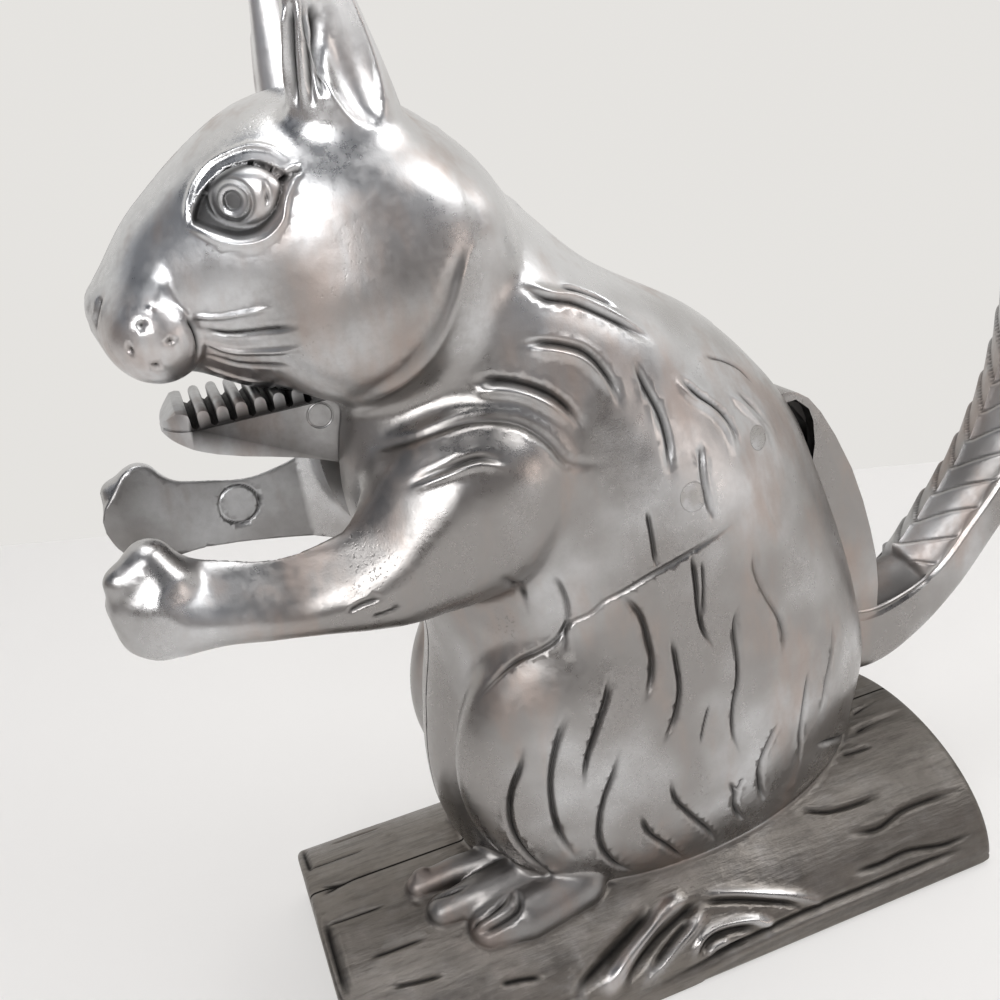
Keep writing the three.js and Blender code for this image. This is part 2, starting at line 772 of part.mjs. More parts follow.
// Toothed jaw in front of the lever.
function jaw() {
  const bottom = jawBottomShares.map(([along, down]) => [
    jawTip + JAW_LENGTH * along,
    jawTop - JAW_DEPTH * down,
  ]);
  const top = jawTopShares.map(([along, down]) => [
    jawTip + JAW_LENGTH * along,
    jawTop - JAW_DEPTH * down,
  ]);
  const teeth = toothLine(jawTip, jawTop).reverse();
  const outline = [...bottom, ...top, ...teeth.slice(1), [jawTip + TOOTH_PITCH, jawTop]];
  const half = JAW_WIDTH * HALF;
  const bow = new THREE.EllipseCurve(jawTip + JAW_BOW, 0, JAW_BOW, half, QUARTER_TURN, -QUARTER_TURN);
  const plan = new THREE.Shape([
    ...bow.getPoints(BALL_SIDES),
    new THREE.Vector2(jawTip + JAW_LENGTH * 2, -half),
    new THREE.Vector2(jawTip + JAW_LENGTH * 2, half),
  ]);
  const bowed = new THREE.ExtrudeGeometry(plan, { depth: jawTop + JAW_DEPTH, bevelEnabled: false });
  return slab(outline, -half, half).intersect(toSolid(bowed));
}

// Arm between two places, as a flat bar with a given depth at each end.
function strut(from, fromDepth, to, toDepth, width) {
  const along = new THREE.Vector2(to.x - from.x, to.z - from.z).normalize();
  const outline = [
    [from.x - along.y * fromDepth * HALF, from.z + along.x * fromDepth * HALF],
    [from.x + along.y * fromDepth * HALF, from.z - along.x * fromDepth * HALF],
    [to.x + along.y * toDepth * HALF, to.z - along.x * toDepth * HALF],
    [to.x - along.y * toDepth * HALF, to.z + along.x * toDepth * HALF],
  ];
  return slab(outline, -width * HALF, width * HALF);
}

const saddleFoot = onTorso(onTorsoShares.saddle);

// Saddle that rides over the back slot, hollow towards the body.
function saddle() {
  const outline = saddleShares.map(([along, up]) => [
    saddleFoot.x + SADDLE_DEPTH * along,
    saddleFoot.z + SADDLE_HEIGHT * up,
  ]);
  const whole = slab(outline, -LEVER_WIDTH * HALF, LEVER_WIDTH * HALF);
  const floorShare = 0.42;
  const floor = saddleFoot.z + SADDLE_HEIGHT * floorShare;
  const rear = outline.filter(([, z]) => z > floor).slice(1, -3);
  const channel = [
    ...rear.map(([x, z]) => [x - SADDLE_WALL, z - SADDLE_WALL * HALF]),
    [saddleFoot.x + SADDLE_DEPTH, floor],
    [saddleFoot.x - SADDLE_DEPTH, floor],
    [saddleFoot.x - SADDLE_DEPTH, rear[0][1] - SADDLE_WALL],
  ];
  const halfWidth = LEVER_WIDTH * HALF - SADDLE_WALL;
  return whole.subtract(slab(channel, -halfWidth, halfWidth));
}

// Closed skin along the tail's stations: its rings sweep towards the tip over the roof, high and
// low by turns, so that they stand as barbs on both of its slopes.
function barbedSkin(stations) {
  const fineRows = 160;
  const plainEndShare = 0.94;
  const roofShares = [0.4, 0.9];
  const rows = smoothRows(stations, fineRows);
  const travel = [0];
  for (let i = 1; i < rows.length; i += 1) {
    const step = Math.hypot(rows[i][0] - rows[i - 1][0], rows[i][2] - rows[i - 1][2]);
    travel.push(travel[i - 1] + step);
  }
  const length = travel[travel.length - 1];
  const at = (distance) => {
    const found = travel.findIndex((value) => value >= Math.min(distance, length));
    const i = Math.max(found, 1);
    const share = (Math.min(distance, length) - travel[i - 1]) / (travel[i] - travel[i - 1]);
    const row = rows[i].map((value, k) => THREE.MathUtils.lerp(rows[i - 1][k], value, share));
    const along = new THREE.Vector2(rows[i][0] - rows[i - 1][0], rows[i][2] - rows[i - 1][2]);
    return { row, along: along.normalize() };
  };
  const near = tailSectionShares.map(([out, up]) => [-out, up]);
  const section = [...near, ...tailSectionShares.slice(1, -1).reverse()];
  const count = Math.round(length / (BARB_PITCH * HALF));
  const rings = Array.from({ length: count + 1 }, (_, k) => {
    const distance = (length * k) / count;
    const leafy = distance > LEAF_START && distance < length * plainEndShare;
    const sweep = Math.min(at(distance).row[4], (length - distance) * HALF);
    return section.map(([out, up]) => {
      const roof = up > roofShares[0];
      const { row, along } = at(distance + (roof ? Math.abs(out) * sweep : 0));
      const barb = leafy ? BARB_DEPTH * ((k % 2) - HALF) : 0;
      const onSlope = roof && up < roofShares[1] ? barb : 0;
      const lift = up * row[3] + onSlope - (roof && distance < LEAF_START ? LEAF_RISE : 0);
      return new THREE.Vector3(row[0] - along.y * lift, out * row[4], row[2] + along.x * lift);
    });
  });
  return toSolid(skin(rings));
}

// Bushy tail, the handle that is pressed.
function tail() {
  const rootShare = 0.75;
  const root = { x: saddleFoot.x + SADDLE_DEPTH * rootShare, z: saddleFoot.z };
  const stations = tailShares.map(([reach, rise, deep, wide]) => [
    root.x + TAIL_REACH * reach,
    0,
    root.z + TAIL_RISE * rise,
    TAIL_DEPTH * HALF * deep,
    TAIL_WIDTH * HALF * wide,
  ]);
  return barbedSkin(stations);
}

// Lever casting with its bore.
function lever() {
  const jawEndShares = [0.88, 1.45];
  const rootShares = [0.7, 0.26];
  const jawEnd = {
    x: jawTip + JAW_LENGTH * jawEndShares[0],
    z: jawTop - JAW_DEPTH * jawEndShares[1],
  };
  const root = {
    x: saddleFoot.x + SADDLE_DEPTH * rootShares[0],
    z: saddleFoot.z + SADDLE_HEIGHT * rootShares[1],
  };
  const body = joined([
    jaw(),
    strut(jawEnd, BAR_DEPTH, pivot, BAR_HUB_DEPTH, LEVER_WIDTH),
    bar(pivot.x, pivot.z, PIVOT_BOSS_RADIUS, -LEVER_WIDTH * HALF, LEVER_WIDTH * HALF),
    strut(pivot, BAR_DEPTH, root, BAR_DEPTH, LEVER_WIDTH),
    saddle(),
  ]);
  const bore = bar(pivot.x, pivot.z, PIVOT_RADIUS + SEAT_GAP, -OVERRUN, OVERRUN);
  return tail().add(body.subtract(bore));
}

// Brushed and tumbled cast aluminium of the figure.
const castAluminium = () =>
  new THREE.MeshStandardMaterial({ color: 0xb9b7b6, roughness: 0.35, metalness: 1 });

// Plain aluminium of rivets and pin.
const rivetAluminium = () =>
  new THREE.MeshStandardMaterial({ color: 0xc6c4c2, roughness: 0.4, metalness: 1 });

// Adds one named piece to the group.
function addPiece(group, name, solid, material) {
  const piece = new THREE.Mesh(toGeometry(solid), material);
  piece.name = name;
  group.add(piece);
}

const group = new THREE.Group();
addPiece(group, "left_casting", halfCasting(leftOuter), castAluminium());
addPiece(group, "right_casting", mirrored(halfCasting(rightOuter)), castAluminium());
addPiece(group, "tail_lever", lever(), castAluminium());
addPiece(group, "pivot_pin", flushPin(pivot.x, pivot.z, PIVOT_RADIUS, PIN_SIDES), rivetAluminium());
Object.entries(rivetPlaces).forEach((entry) => {
  const [name, { x, z }] = entry;
  const flush = name === "back_rivet";
  const rivet = flush ? flushPin(x, z, RIVET_RADIUS, RIVET_SIDES) : rivetBar(entry, 0);
  addPiece(group, name, rivet, rivetAluminium());
});

// The frame's origin is the middle of the footprint of the whole object.
const bounds = new THREE.Box3().setFromObject(group);
group.position.x = -(bounds.min.x + bounds.max.x) * HALF;

export default group;
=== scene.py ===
"""Looks of a squirrel-shaped lever nutcracker in cast aluminium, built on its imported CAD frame.

Forms are worked out in millimetres of the figure's own frame: nose towards -X, tail towards +X,
the animal's left side towards -Y, the log's underside at Z = 0 and its middle at X = 0.
A mesh is put into the CAD's frame, in metres, when it is finished.
"""
import logging
import math
from contextlib import contextmanager
from dataclasses import dataclass, field
from enum import Enum
from typing import Callable, Iterable, Iterator, Sequence

import bmesh
import bpy
import numpy as np
from mathutils import Matrix, Vector
from mathutils.kdtree import KDTree


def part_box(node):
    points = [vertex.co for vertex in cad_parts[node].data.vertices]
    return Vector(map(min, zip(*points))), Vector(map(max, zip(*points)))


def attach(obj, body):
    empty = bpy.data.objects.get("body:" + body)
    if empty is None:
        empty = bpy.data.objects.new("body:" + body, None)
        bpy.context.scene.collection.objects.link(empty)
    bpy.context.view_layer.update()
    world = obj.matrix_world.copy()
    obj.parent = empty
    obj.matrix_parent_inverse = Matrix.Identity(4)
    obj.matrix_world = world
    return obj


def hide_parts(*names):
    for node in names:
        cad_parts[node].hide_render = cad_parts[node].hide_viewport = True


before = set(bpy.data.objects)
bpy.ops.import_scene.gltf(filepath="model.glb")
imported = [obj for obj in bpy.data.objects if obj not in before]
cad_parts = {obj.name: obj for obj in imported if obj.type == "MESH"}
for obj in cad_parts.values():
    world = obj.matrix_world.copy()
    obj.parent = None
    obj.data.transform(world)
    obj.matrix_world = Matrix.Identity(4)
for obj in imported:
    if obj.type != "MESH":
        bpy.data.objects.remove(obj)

Array = np.ndarray
Field = Callable[[Array], Array]
LOG = logging.getLogger("nutcracker")
MM = 0.001
FAR = math.inf
TINY = 1e-6
LOG_HALF_LENGTH = 70.0
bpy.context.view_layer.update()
SHIFT_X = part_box("left_casting")[1][0] / MM - LOG_HALF_LENGTH
PIVOT = (10.0, 101.0)
HUB_RADIUS = 7.6
JAW_TIP = -73.2
JAW_TOP = 131.4
TOOTH_START = 5.6
TOOTH_PITCH = 3.1
TOOTH_COUNT = 7


class Carving(Enum):
    """How a carved line departs from the surface round it."""

    CUT = -1
    WELT = 1


class Side(Enum):
    """Which half of the figure a casting is; the value is the sign of its Y."""

    LEFT = -1
    RIGHT = 1


def soft_min(a: Array, b: Array, blend: float) -> Array:
    """Smooth union of two fields.

    Args:
        a: First field's values.
        b: Second field's values.
        blend: Width of the fillet between them, in millimetres.

    Returns:
        Values of the joined field.
    """
    share = np.clip(0.5 + 0.5 * (b - a) / blend, 0, 1)
    return b * (1 - share) + a * share - blend * share * (1 - share)


def soft_max(a: Array, b: Array, blend: float) -> Array:
    """Smooth intersection of two fields, as soft_min is their union."""
    return -soft_min(-a, -b, blend)


def smooth_step(low: float, high: float, value: Array) -> Array:
    """Smooth rise from 0 at low to 1 at high."""
    t = np.clip((value - low) / (high - low), 0, 1)
    return t * t * (3 - 2 * t)


def smooth_rows(rows: Sequence[Sequence[float]], count: int = 400) -> Array:
    """Draws a smooth curve through given rows.

    Args:
        rows: Rows of numbers; the first column is the key and rises.
        count: Number of rows wanted.

    Returns:
        Rows at even steps of the key.
    """
    table = np.array(rows, float)
    key = table[:, 0]
    slope = np.gradient(table, key, axis=0)
    at = np.linspace(key[0], key[-1], count)
    i = np.clip(np.searchsorted(key, at, side="right") - 1, 0, len(key) - 2)
    step = (key[i + 1] - key[i])[:, None]
    t = ((at - key[i]) / step[:, 0])[:, None]
    start, end = table[i], table[i + 1]
    leave, arrive = slope[i] * step, slope[i + 1] * step
    turn = (2 * t**3 - 3 * t**2 + 1) * start + (-2 * t**3 + 3 * t**2) * end
    return turn + (t**3 - 2 * t**2 + t) * leave + (t**3 - t**2) * arrive


def sections(rows: Sequence[Sequence[float]], key: Array) -> tuple[list[Array], Array]:
    """Looks up the cross-sections of a form.

    Args:
        rows: Rows of numbers; the first column is the place along the form.
        key: Each point's place along it.

    Returns:
        The other columns at each point, and how far each point is past the nearer end.
    """
    table = smooth_rows(rows)
    columns = [np.interp(key, table[:, 0], table[:, i]) for i in range(1, table.shape[1])]
    return columns, np.maximum(key - table[-1, 0], table[0, 0] - key)


def bell(value: Array, middle: float, width: float) -> Array:
    """Bell curve that is 1 at its middle."""
    return np.exp(-(((value - middle) / width) ** 2))


def within(p: Array, low: Sequence[float], high: Sequence[float]) -> Array:
    """True for each point inside a box, given by its two corners."""
    return np.all((p > np.array(low)) & (p < np.array(high)), axis=1)


def oval(u: Array, v: Array, half_u: Array, half_v: Array) -> Array:
    """Distance to an oval in its own plane, from its two half sizes."""
    near = np.sqrt((u / half_u) ** 2 + (v / half_v) ** 2)
    slope = np.sqrt((u / half_u**2) ** 2 + (v / half_v**2) ** 2)
    return near * (near - 1) / np.maximum(slope, TINY)


def plump(u: Array, v: Array, half_u: Array, half_v: Array, power: float) -> Array:
    """Distance to a fuller oval, squarer than a plain one as its power grows."""
    a, b = np.abs(u / half_u), np.abs(v / half_v)
    near = np.maximum((a**power + b**power) ** (1 / power), TINY)
    slope = np.hypot((a / near) ** (power - 1) / half_u, (b / near) ** (power - 1) / half_v)
    return (near - 1) / np.maximum(slope, TINY)


def egg(p: Array, centre: Sequence[float], half: Sequence[float], tilt: float = 0, swing: float = 0) -> Array:
    """Distance to an egg.

    Args:
        p: Points, one a row.
        centre: The egg's middle.
        half: Its three half sizes.
        tilt: Turn in the X-Z plane, in degrees.
        swing: Turn in the X-Y plane, in degrees.

    Returns:
        One distance a point.
    """
    x, y, z = (p - np.array(centre, float)).T
    c, s = math.cos(math.radians(swing)), math.sin(math.radians(swing))
    x, y = x * c + y * s, -x * s + y * c
    c, s = math.cos(math.radians(tilt)), math.sin(math.radians(tilt))
    x, z = x * c + z * s, -x * s + z * c
    size = np.array(half, float)
    q = np.stack([x, y, z], 1)
    near = np.linalg.norm(q / size, axis=1)
    slope = np.linalg.norm(q / size**2, axis=1)
    return near * (near - 1) / np.maximum(slope, TINY)


def chain(p: Array, points: Sequence[Sequence[float]]) -> Array:
    """Distance to a chain of round cones through points (x, y, z, radius)."""
    best = np.full(len(p), np.inf)
    for a, b in zip(points[:-1], points[1:]):
        start, run = np.array(a[:3], float), np.array(b[:3], float) - np.array(a[:3], float)
        t = np.clip((p - start) @ run / (run @ run), 0, 1)
        gap = np.linalg.norm(p - start - t[:, None] * run, axis=1) - (a[3] + t * (b[3] - a[3]))
        best = np.minimum(best, gap)
    return best


def along_line(p: Array, points: Sequence[Sequence[float]]) -> tuple[Array, Array]:
    """Distance to a polyline and the share of its length at the nearest place."""
    line = np.array(points, float)
    runs = np.linalg.norm(np.diff(line, axis=0), axis=1)
    starts = np.concatenate([[0], np.cumsum(runs)])
    best, share = np.full(len(p), np.inf), np.zeros(len(p))
    for i, run in enumerate(runs):
        way = (line[i + 1] - line[i]) / run
        t = np.clip((p - line[i]) @ way, 0, run)
        gap = np.linalg.norm(p - line[i] - t[:, None] * way, axis=1)
        nearer = gap < best
        best[nearer] = gap[nearer]
        share[nearer] = (starts[i] + t[nearer]) / starts[-1]
    return best, share


@dataclass(frozen=True)
class Mark:
    """A line carved into a casting: a cut, or a welt that stands proud."""

    name: str
    kind: Carving
    half_width: float
    depth: float
    points: tuple[tuple[float, ...], ...]
    shade: float = 1.0
    reach_widths: float = 4.0
    burr_height: float = 0.16
    shade_width: float = 0.72
    taper: tuple[float, float, float, float] = (-0.04, 0.18, 0.72, 1.04)

    @property
    def closed(self) -> bool:
        """True for a ring or a dot, which have no ends to taper."""
        return self.points[0] == self.points[-1]

    def smooth_points(self) -> Array:
        """Points of the line, rounded through its corners."""
        line = np.array(self.points, float)
        if len(line) < 3 or self.closed:
            return line
        runs = np.linalg.norm(np.diff(line, axis=0), axis=1)
        keyed = np.column_stack([np.concatenate([[0], np.cumsum(runs)]), line])
        return smooth_rows(keyed, 4 * len(line))[:, 1:]

    def reach(self, p: Array) -> tuple[Array, Array, Array]:
        """Points near the line.

        Args:
            p: Points of the surface.

        Returns:
            The indices of the near points, their distance and how full the line is there.
        """
        line = self.smooth_points()
        span = self.reach_widths * self.half_width
        near = np.nonzero(within(p, line.min(0) - span, line.max(0) + span))[0]
        if not len(near):
            return near, np.zeros(0), np.zeros(0)
        if len(line) == 1:
            return near, np.linalg.norm(p[near] - line[0], axis=1), np.ones(len(near))
        gap, share = along_line(p[near], line)
        a, b, c, d = self.taper
        full = smooth_step(a, b, share) * (1 - smooth_step(c, d, share))
        return near, gap, np.ones(len(near)) if self.closed else full

    def profile(self, gap: Array) -> Array:
        """Height across the line, with a burr beside a cut."""
        if self.kind is Carving.WELT:
            return bell(gap, 0, self.half_width)
        return self.burr_height * bell(gap, 2 * self.half_width, self.half_width) - bell(gap, 0, self.half_width)


def relief(p: Array, marks: Iterable[Mark]) -> tuple[Array, Array]:
    """Height that marks add to a surface, and the dark that gathers in them.

    Args:
        p: Points of the surface.
        marks: The carved lines.

    Returns:
        The height in millimetres and the patina from 0 to 1, one each a point.
    """
    height, dark = np.zeros(len(p)), np.zeros(len(p))
    for mark in marks:
        near, gap, full = mark.reach(p)
        if mark.kind is Carving.CUT:
            shade = mark.shade * bell(gap, 0, mark.shade_width * mark.half_width) * full
            dark[near] = np.maximum(dark[near], shade)
        height[near] += mark.profile(gap) * full * mark.depth
    return height, dark


def ring_points(centre: Sequence[float], radius: float, count: int) -> tuple[tuple[float, ...], ...]:
    """Points of a closed ring in the X-Z plane, to a hundredth of a millimetre."""
    turns = [2 * math.pi * i / count for i in range(count)] + [0]
    x, y, z = centre
    return tuple((round(x + radius * math.cos(t), 2), y, round(z + radius * math.sin(t), 2)) for t in turns)


CUT, WELT = Carving
CARVED = {
    "haunch": (
        (CUT, 0.6, 0.9, (-27.1, -26.1, 61.4), (-28.2, -26.1, 58.1), (-30.5, -25.3, 53), (-31.7, -24.5, 47.3),
         (-31.2, -23.8, 41.3), (-28.9, -23.1, 35), (-23.3, -20.7, 25.9)),
        (CUT, 0.55, 0.85, (-19, -28.1, 66.3), (-21.2, -28.1, 62), (-23.5, -28, 55.3), (-24.2, -27.8, 48.7),
         (-23.4, -27.1, 41.1), (-21.1, -26.1, 34.1)),
        (CUT, 0.5, 0.8, (-10.1, -28.8, 71.7), (-11.1, -29.3, 68.6), (-13.8, -29.7, 63.4), (-16.8, -29.7, 57),
         (-18.2, -29.5, 50.8)),
        (CUT, 0.55, 0.85, (-10.6, -30.7, 57.4), (-11.8, -30.6, 53.9), (-14.3, -30.1, 48.5), (-15.9, -29.3, 42.9),
         (-16, -28, 36.2), (-13.7, -26.4, 30), (-6, -23, 20.1)),
        (CUT, 0.6, 0.9, (-5.3, -28.4, 86.3), (-3, -28.9, 82.6), (-2, -29.4, 76.9), (-1.9, -29.9, 73),
         (-3.1, -30.5, 68.4), (-4.8, -30.7, 65.4)),
        (CUT, 0.5, 0.8, (2.4, -30, 76.1), (2.5, -30.7, 70.8), (2.3, -31.2, 65.8), (0.8, -31.5, 61.2),
         (-2.5, -31.5, 55.7)),
        (CUT, 0.5, 0.8, (8.3, -29.7, 91.1), (8.3, -30, 84.9), (8.2, -30.2, 80), (8.5, -30.4, 76.3),
         (10.1, -30.8, 71.8)),
        (CUT, 0.4, 0.6, (10.1, -29.7, 89.2), (9.6, -30.1, 83.5), (8.9, -30.2, 79.4), (8.5, -30.3, 77.5)),
        (CUT, 0.45, 0.7, (16.2, -30.1, 78), (15, -30.4, 74.8), (14.7, -31, 67.8), (14.2, -31.2, 63.8),
         (12.7, -31.5, 59), (12.1, -31.5, 53.7), (13.4, -31, 47.5)),
        (CUT, 0.5, 0.8, (21, -28.8, 87.6), (21.1, -29.2, 82.6), (22.6, -29.3, 78.1), (25.1, -29.2, 72.4),
         (25.7, -29.3, 69.7), (24.8, -29.8, 64.8)),
        (CUT, 0.5, 0.8, (-1.6, -31.3, 47.6), (-0.8, -30.7, 42.4), (2.2, -29.8, 37), (7.3, -27.1, 28.9),
         (9.8, -24.3, 23.4)),
        (CUT, 0.55, 0.8, (-8, -30.1, 41.2), (-6.7, -29.3, 36.3), (-2.1, -27.4, 29.4), (3.4, -23.2, 20.2)),
        (CUT, 0.5, 0.8, (11.1, -30.3, 41.3), (12.4, -29.5, 37.9), (12.6, -28.5, 34.2), (15.7, -25.5, 27)),
        (CUT, 0.45, 0.7, (14.1, -29.9, 40.8), (12.6, -29.5, 38)),
        (CUT, 0.5, 0.8, (22.5, -30, 50.2), (20, -30.1, 46.5), (18.2, -29.7, 42.3), (18.6, -28.3, 36.6),
         (20.6, -25.8, 30)),
        (CUT, 0.45, 0.7, (31.1, -28.4, 58), (29.7, -28.6, 52.4), (28.8, -28.1, 45.5), (29.9, -25.1, 35.2)),
        (CUT, 0.45, 0.7, (39.5, -25, 64.3), (39, -25.4, 60.1), (36.7, -26.3, 54.5), (34.9, -26.3, 47)),
        (CUT, 0.3, 0.3, (7.6, -31.6, 61), (6.1, -31.7, 57.2), (4.9, -31.7, 53.2)),
        (WELT, 0.9, 0.4, (-14.7, -25.4, 82.8), (-15.5, -25.3, 79.5), (-16.1, -26.3, 75.6)),
    ),
    "back": (
        (CUT, 0.5, 0.8, (26.5, -26.2, 96), (27, -26.7, 92), (28.5, -26.8, 88), (31, -26.8, 82.2), (33.3, -26.5, 77.7),
         (36, -25.8, 73.4)),
        (CUT, 0.5, 0.8, (13.6, -26.7, 109.2), (12.8, -27.8, 105.1), (12.7, -28.4, 101.5), (13.2, -29, 95.8)),
        (CUT, 0.45, 0.7, (0.9, -28.9, 101.2), (1.1, -29.1, 97.5), (1.2, -29.3, 92.7), (1.3, -29.4, 90)),
        (CUT, 0.6, 0.8, (4, -23.9, 125.8), (4.9, -25, 121.8), (6.5, -26.1, 116.7), (7, -27.2, 112),
         (6.3, -28.3, 106.1)),
        (WELT, 0.7, 0.55, (11.2, -23.6, 120.9), (13.4, -24.2, 117.3), (17.1, -24.1, 114.1), (19.5, -24.5, 110.8),
         (20.7, -25.5, 107), (21.3, -26.1, 104.2)),
        (CUT, 0.5, 0.6, (12.7, -23.3, 120.5), (15.7, -23.6, 116.9), (19.3, -23.6, 113.4), (21.6, -24.2, 109.6),
         (22.5, -25.2, 105.9)),
        (WELT, 0.7, 0.6, (22.5, -21.2, 115.3), (26.1, -21.5, 111.2), (29.3, -21.9, 107.1), (30, -23.2, 103),
         (30.2, -24.4, 98.3), (31.1, -24.8, 94.2), (33.1, -24.8, 90.2)),
        (CUT, 0.5, 0.6, (25.2, -20.1, 114.5), (28.8, -20.3, 110.5), (31.7, -21, 106.2), (32.4, -22.3, 102.1),
         (32.6, -23.5, 97.4), (33.6, -23.9, 93.3)),
        (CUT, 0.35, 0.35, (19.8, -19, 122.1), (24.7, -17.1, 119.7), (28.2, -16.1, 117.1), (30.8, -16.5, 113.7)),
        (CUT, 0.6, 0.6, (-12.7, -21.3, 141.6), (-9.4, -21.5, 139.3), (-4.1, -20.8, 137.2), (0.1, -20.8, 134.6),
         (3.4, -21, 132.2), (8.4, -21.4, 128.2)),
        (WELT, 1, 0.5, (-11.9, -20.8, 142.2), (-8.2, -20.9, 139.8), (-3.3, -20, 137.9), (1, -19.9, 135.3),
         (4.7, -20.3, 132.3), (8.9, -20.5, 129.2)),
        (CUT, 0.5, 0.5, (-5.9, -19.7, 140.1), (-2.2, -18.9, 138.6), (1.3, -18.7, 136.4), (4.4, -19.3, 133.8)),
        (WELT, 0.8, 0.6, (-14.2, -24.1, 132.2), (-9.6, -24.4, 130.7), (-5.8, -24.7, 128.5), (-3.5, -25.3, 125.5),
         (-2.1, -26, 122)),
        (CUT, 0.6, 0.7, (-14.9, -23.8, 133.4), (-8.9, -24.1, 131.9), (-4.5, -24.3, 129.5), (-2.2, -25, 126.1),
         (-0.8, -25.7, 122.5), (-0.7, -26.3, 119.8)),
        (CUT, 0.7, 0.9, (-23.9, -22.8, 128.7), (-20, -23.9, 128.3), (-15.4, -24.9, 126.5), (-11.5, -25.7, 123.7),
         (-8.8, -26.4, 119.8), (-7.9, -26.9, 117.2)),
        (WELT, 0.9, 0.6, (-24.2, -23, 126.9), (-20.3, -24, 126.7), (-16.3, -25, 125.1), (-12.8, -25.8, 122.3),
         (-10.4, -26.5, 119.1)),
        (CUT, 0.4, 0.5, (37.4, -19.2, 102.5), (39, -19.9, 97.3), (41.8, -20.2, 88.7), (43.6, -21, 80)),
    ),
    "crease": (
        (CUT, 0.45, 0.5, (-32.1, -19, 69.9), (-25.7, -21.3, 75.8), (-17.6, -24.4, 79.7), (-14.7, -25.4, 82.8),
         (-11.2, -26.7, 84.1), (-8.4, -27.6, 86.2), (-5.4, -28.4, 87.2), (-0.1, -29.3, 89.2), (2.8, -29.5, 90),
         (7.8, -29.7, 91.3), (13.1, -29.3, 92.7), (19, -28.4, 93.8)),
    ),
    "belly": (
        (CUT, 0.6, 0.6, (-26.4, -28.9, 96.9), (-23.6, -25.7, 93.2), (-21.3, -22.5, 88.7), (-21, -22.3, 84.9)),
        (CUT, 0.6, 0.7, (-16.4, -25.2, 92.6), (-15.3, -25.5, 89.4), (-14.8, -25.4, 84.9), (-15.4, -25, 82.3),
         (-16.6, -25.4, 77.8)),
    ),
    "shoulder": (
        (CUT, 0.8, 0.6, (-41.2, -18.2, 120.4), (-35, -23.2, 122.5), (-25.6, -25.3, 123.5), (-18, -26.7, 121),
         (-14.2, -27.6, 117.1), (-12.2, -28, 113.5), (-6.1, -27.7, 111.1)),
        (CUT, 0.6, 0.5, (-39.4, -27.1, 116.4), (-32.6, -28.8, 118), (-26.3, -29.4, 118.3), (-23.3, -30, 116.9)),
        (WELT, 0.8, 0.4, (-39.7, -27.7, 115.4), (-33, -29.4, 116.8), (-26.7, -29.9, 117.2), (-22.7, -30.4, 115.5)),
    ),
    "cheek": (
        (WELT, 1.3, 0.45, (-17.7, -22.6, 152.2), (-22.5, -24.8, 148.9), (-26, -25.5, 142.1), (-31.9, -24.3, 134.3),
         (-38.3, -21.3, 130.3), (-43.2, -15.6, 128.2)),
        (CUT, 1.2, 0.4, (-20.1, -23.8, 151), (-23.5, -25.1, 148.4), (-27.2, -25.8, 142.4), (-33.2, -24.9, 135.4),
         (-39.9, -22.1, 131.5), (-44.3, -17.9, 129.7)),
    ),
    "whisker": (
        (WELT, 0.5, 0.5, (-64.1, -15, 147.2), (-60.8, -16.4, 146.6), (-56.4, -18.5, 146.6), (-52.3, -20.6, 146.8)),
        (WELT, 0.55, 0.6, (-63.7, -13.8, 142.6), (-59, -14.6, 140.6), (-54, -17.9, 140), (-49.1, -21.9, 140.1)),
        (WELT, 0.5, 0.5, (-63.9, -8.7, 138), (-60.9, -8.8, 136.3), (-55.2, -9.6, 133.4)),
        (CUT, 0.5, 0.5, (-63.9, -14.7, 145), (-59.9, -15.8, 143.7), (-53.5, -19.5, 143.5), (-49.2, -22.2, 143.6)),
        (CUT, 0.45, 0.45, (-63.8, -12.1, 140.3), (-58.6, -12.8, 138), (-51.7, -18.8, 137.2)),
    ),
    "log": (
        (CUT, 0.7, 0.8, (34.2, -24.1, 37.6), (40.5, -20.4, 34), (55.7, -9.3, 25.1), (68.2, -8.9, 25.2)),
        (CUT, 0.6, 0.6, (42.4, -20.4, 38), (59, -4.1, 25.8), (67.2, -3.1, 25.9)),
        (CUT, 0.5, 0.5, (47, -13.9, 24), (50.6, -14.3, 23.9), (55, -14.4, 23.9)),
        (CUT, 0.6, 0.7, (38.8, -28.2, 16), (45.7, -28.9, 15.2), (51.6, -27.9, 16.2), (59.4, -27.8, 16.3),
         (67.3, -28.3, 15.9)),
        (CUT, 0.5, 0.6, (31.3, -21.6, 20.8), (37.2, -23.7, 19.5), (43.1, -24.2, 19.2), (49.9, -24.2, 19.1)),
        (CUT, 0.8, 0.9, (35.4, -32.5, 10.2), (42.6, -32.8, 9.6), (49, -32.6, 9.9), (59.8, -33.4, 8.2),
         (68.3, -33.1, 8.7)),
        (WELT, 1.1, 0.8, (3.3, -28.1, 16.1), (9.3, -29.4, 14.7), (15.2, -30.8, 12.9), (23.2, -32.7, 9.8),
         (27.1, -33.8, 6.8), (25.7, -34.2, 4.7)),
        (CUT, 0.6, 0.8, (2.6, -29.1, 14.9), (8.7, -30.3, 13.6), (15, -31.7, 11.6), (21.8, -33.2, 8.5),
         (24.1, -33.9, 6.4)),
    ),
    "lip": (
        (WELT, 1.2, 0.7, (68.1, -34.3, 3.8), (52.6, -34.3, 4.1), (41.2, -34.3, 4), (21.7, -34.3, 3.9),
         (9.9, -34.4, 3.2), (-1.7, -34.4, 1.5), (-11.8, -34.4, 1)),
    ),
    "lip_cut": (
        (CUT, 0.8, 0.9, (67.1, -34, 6.1), (51.6, -33.9, 6.3), (40.3, -33.9, 6.3), (21, -33.9, 6.3), (9.1, -34.1, 5.7),
         (-2.9, -34.3, 4.3), (-14.8, -34.4, 3.3)),
    ),
    "root": (
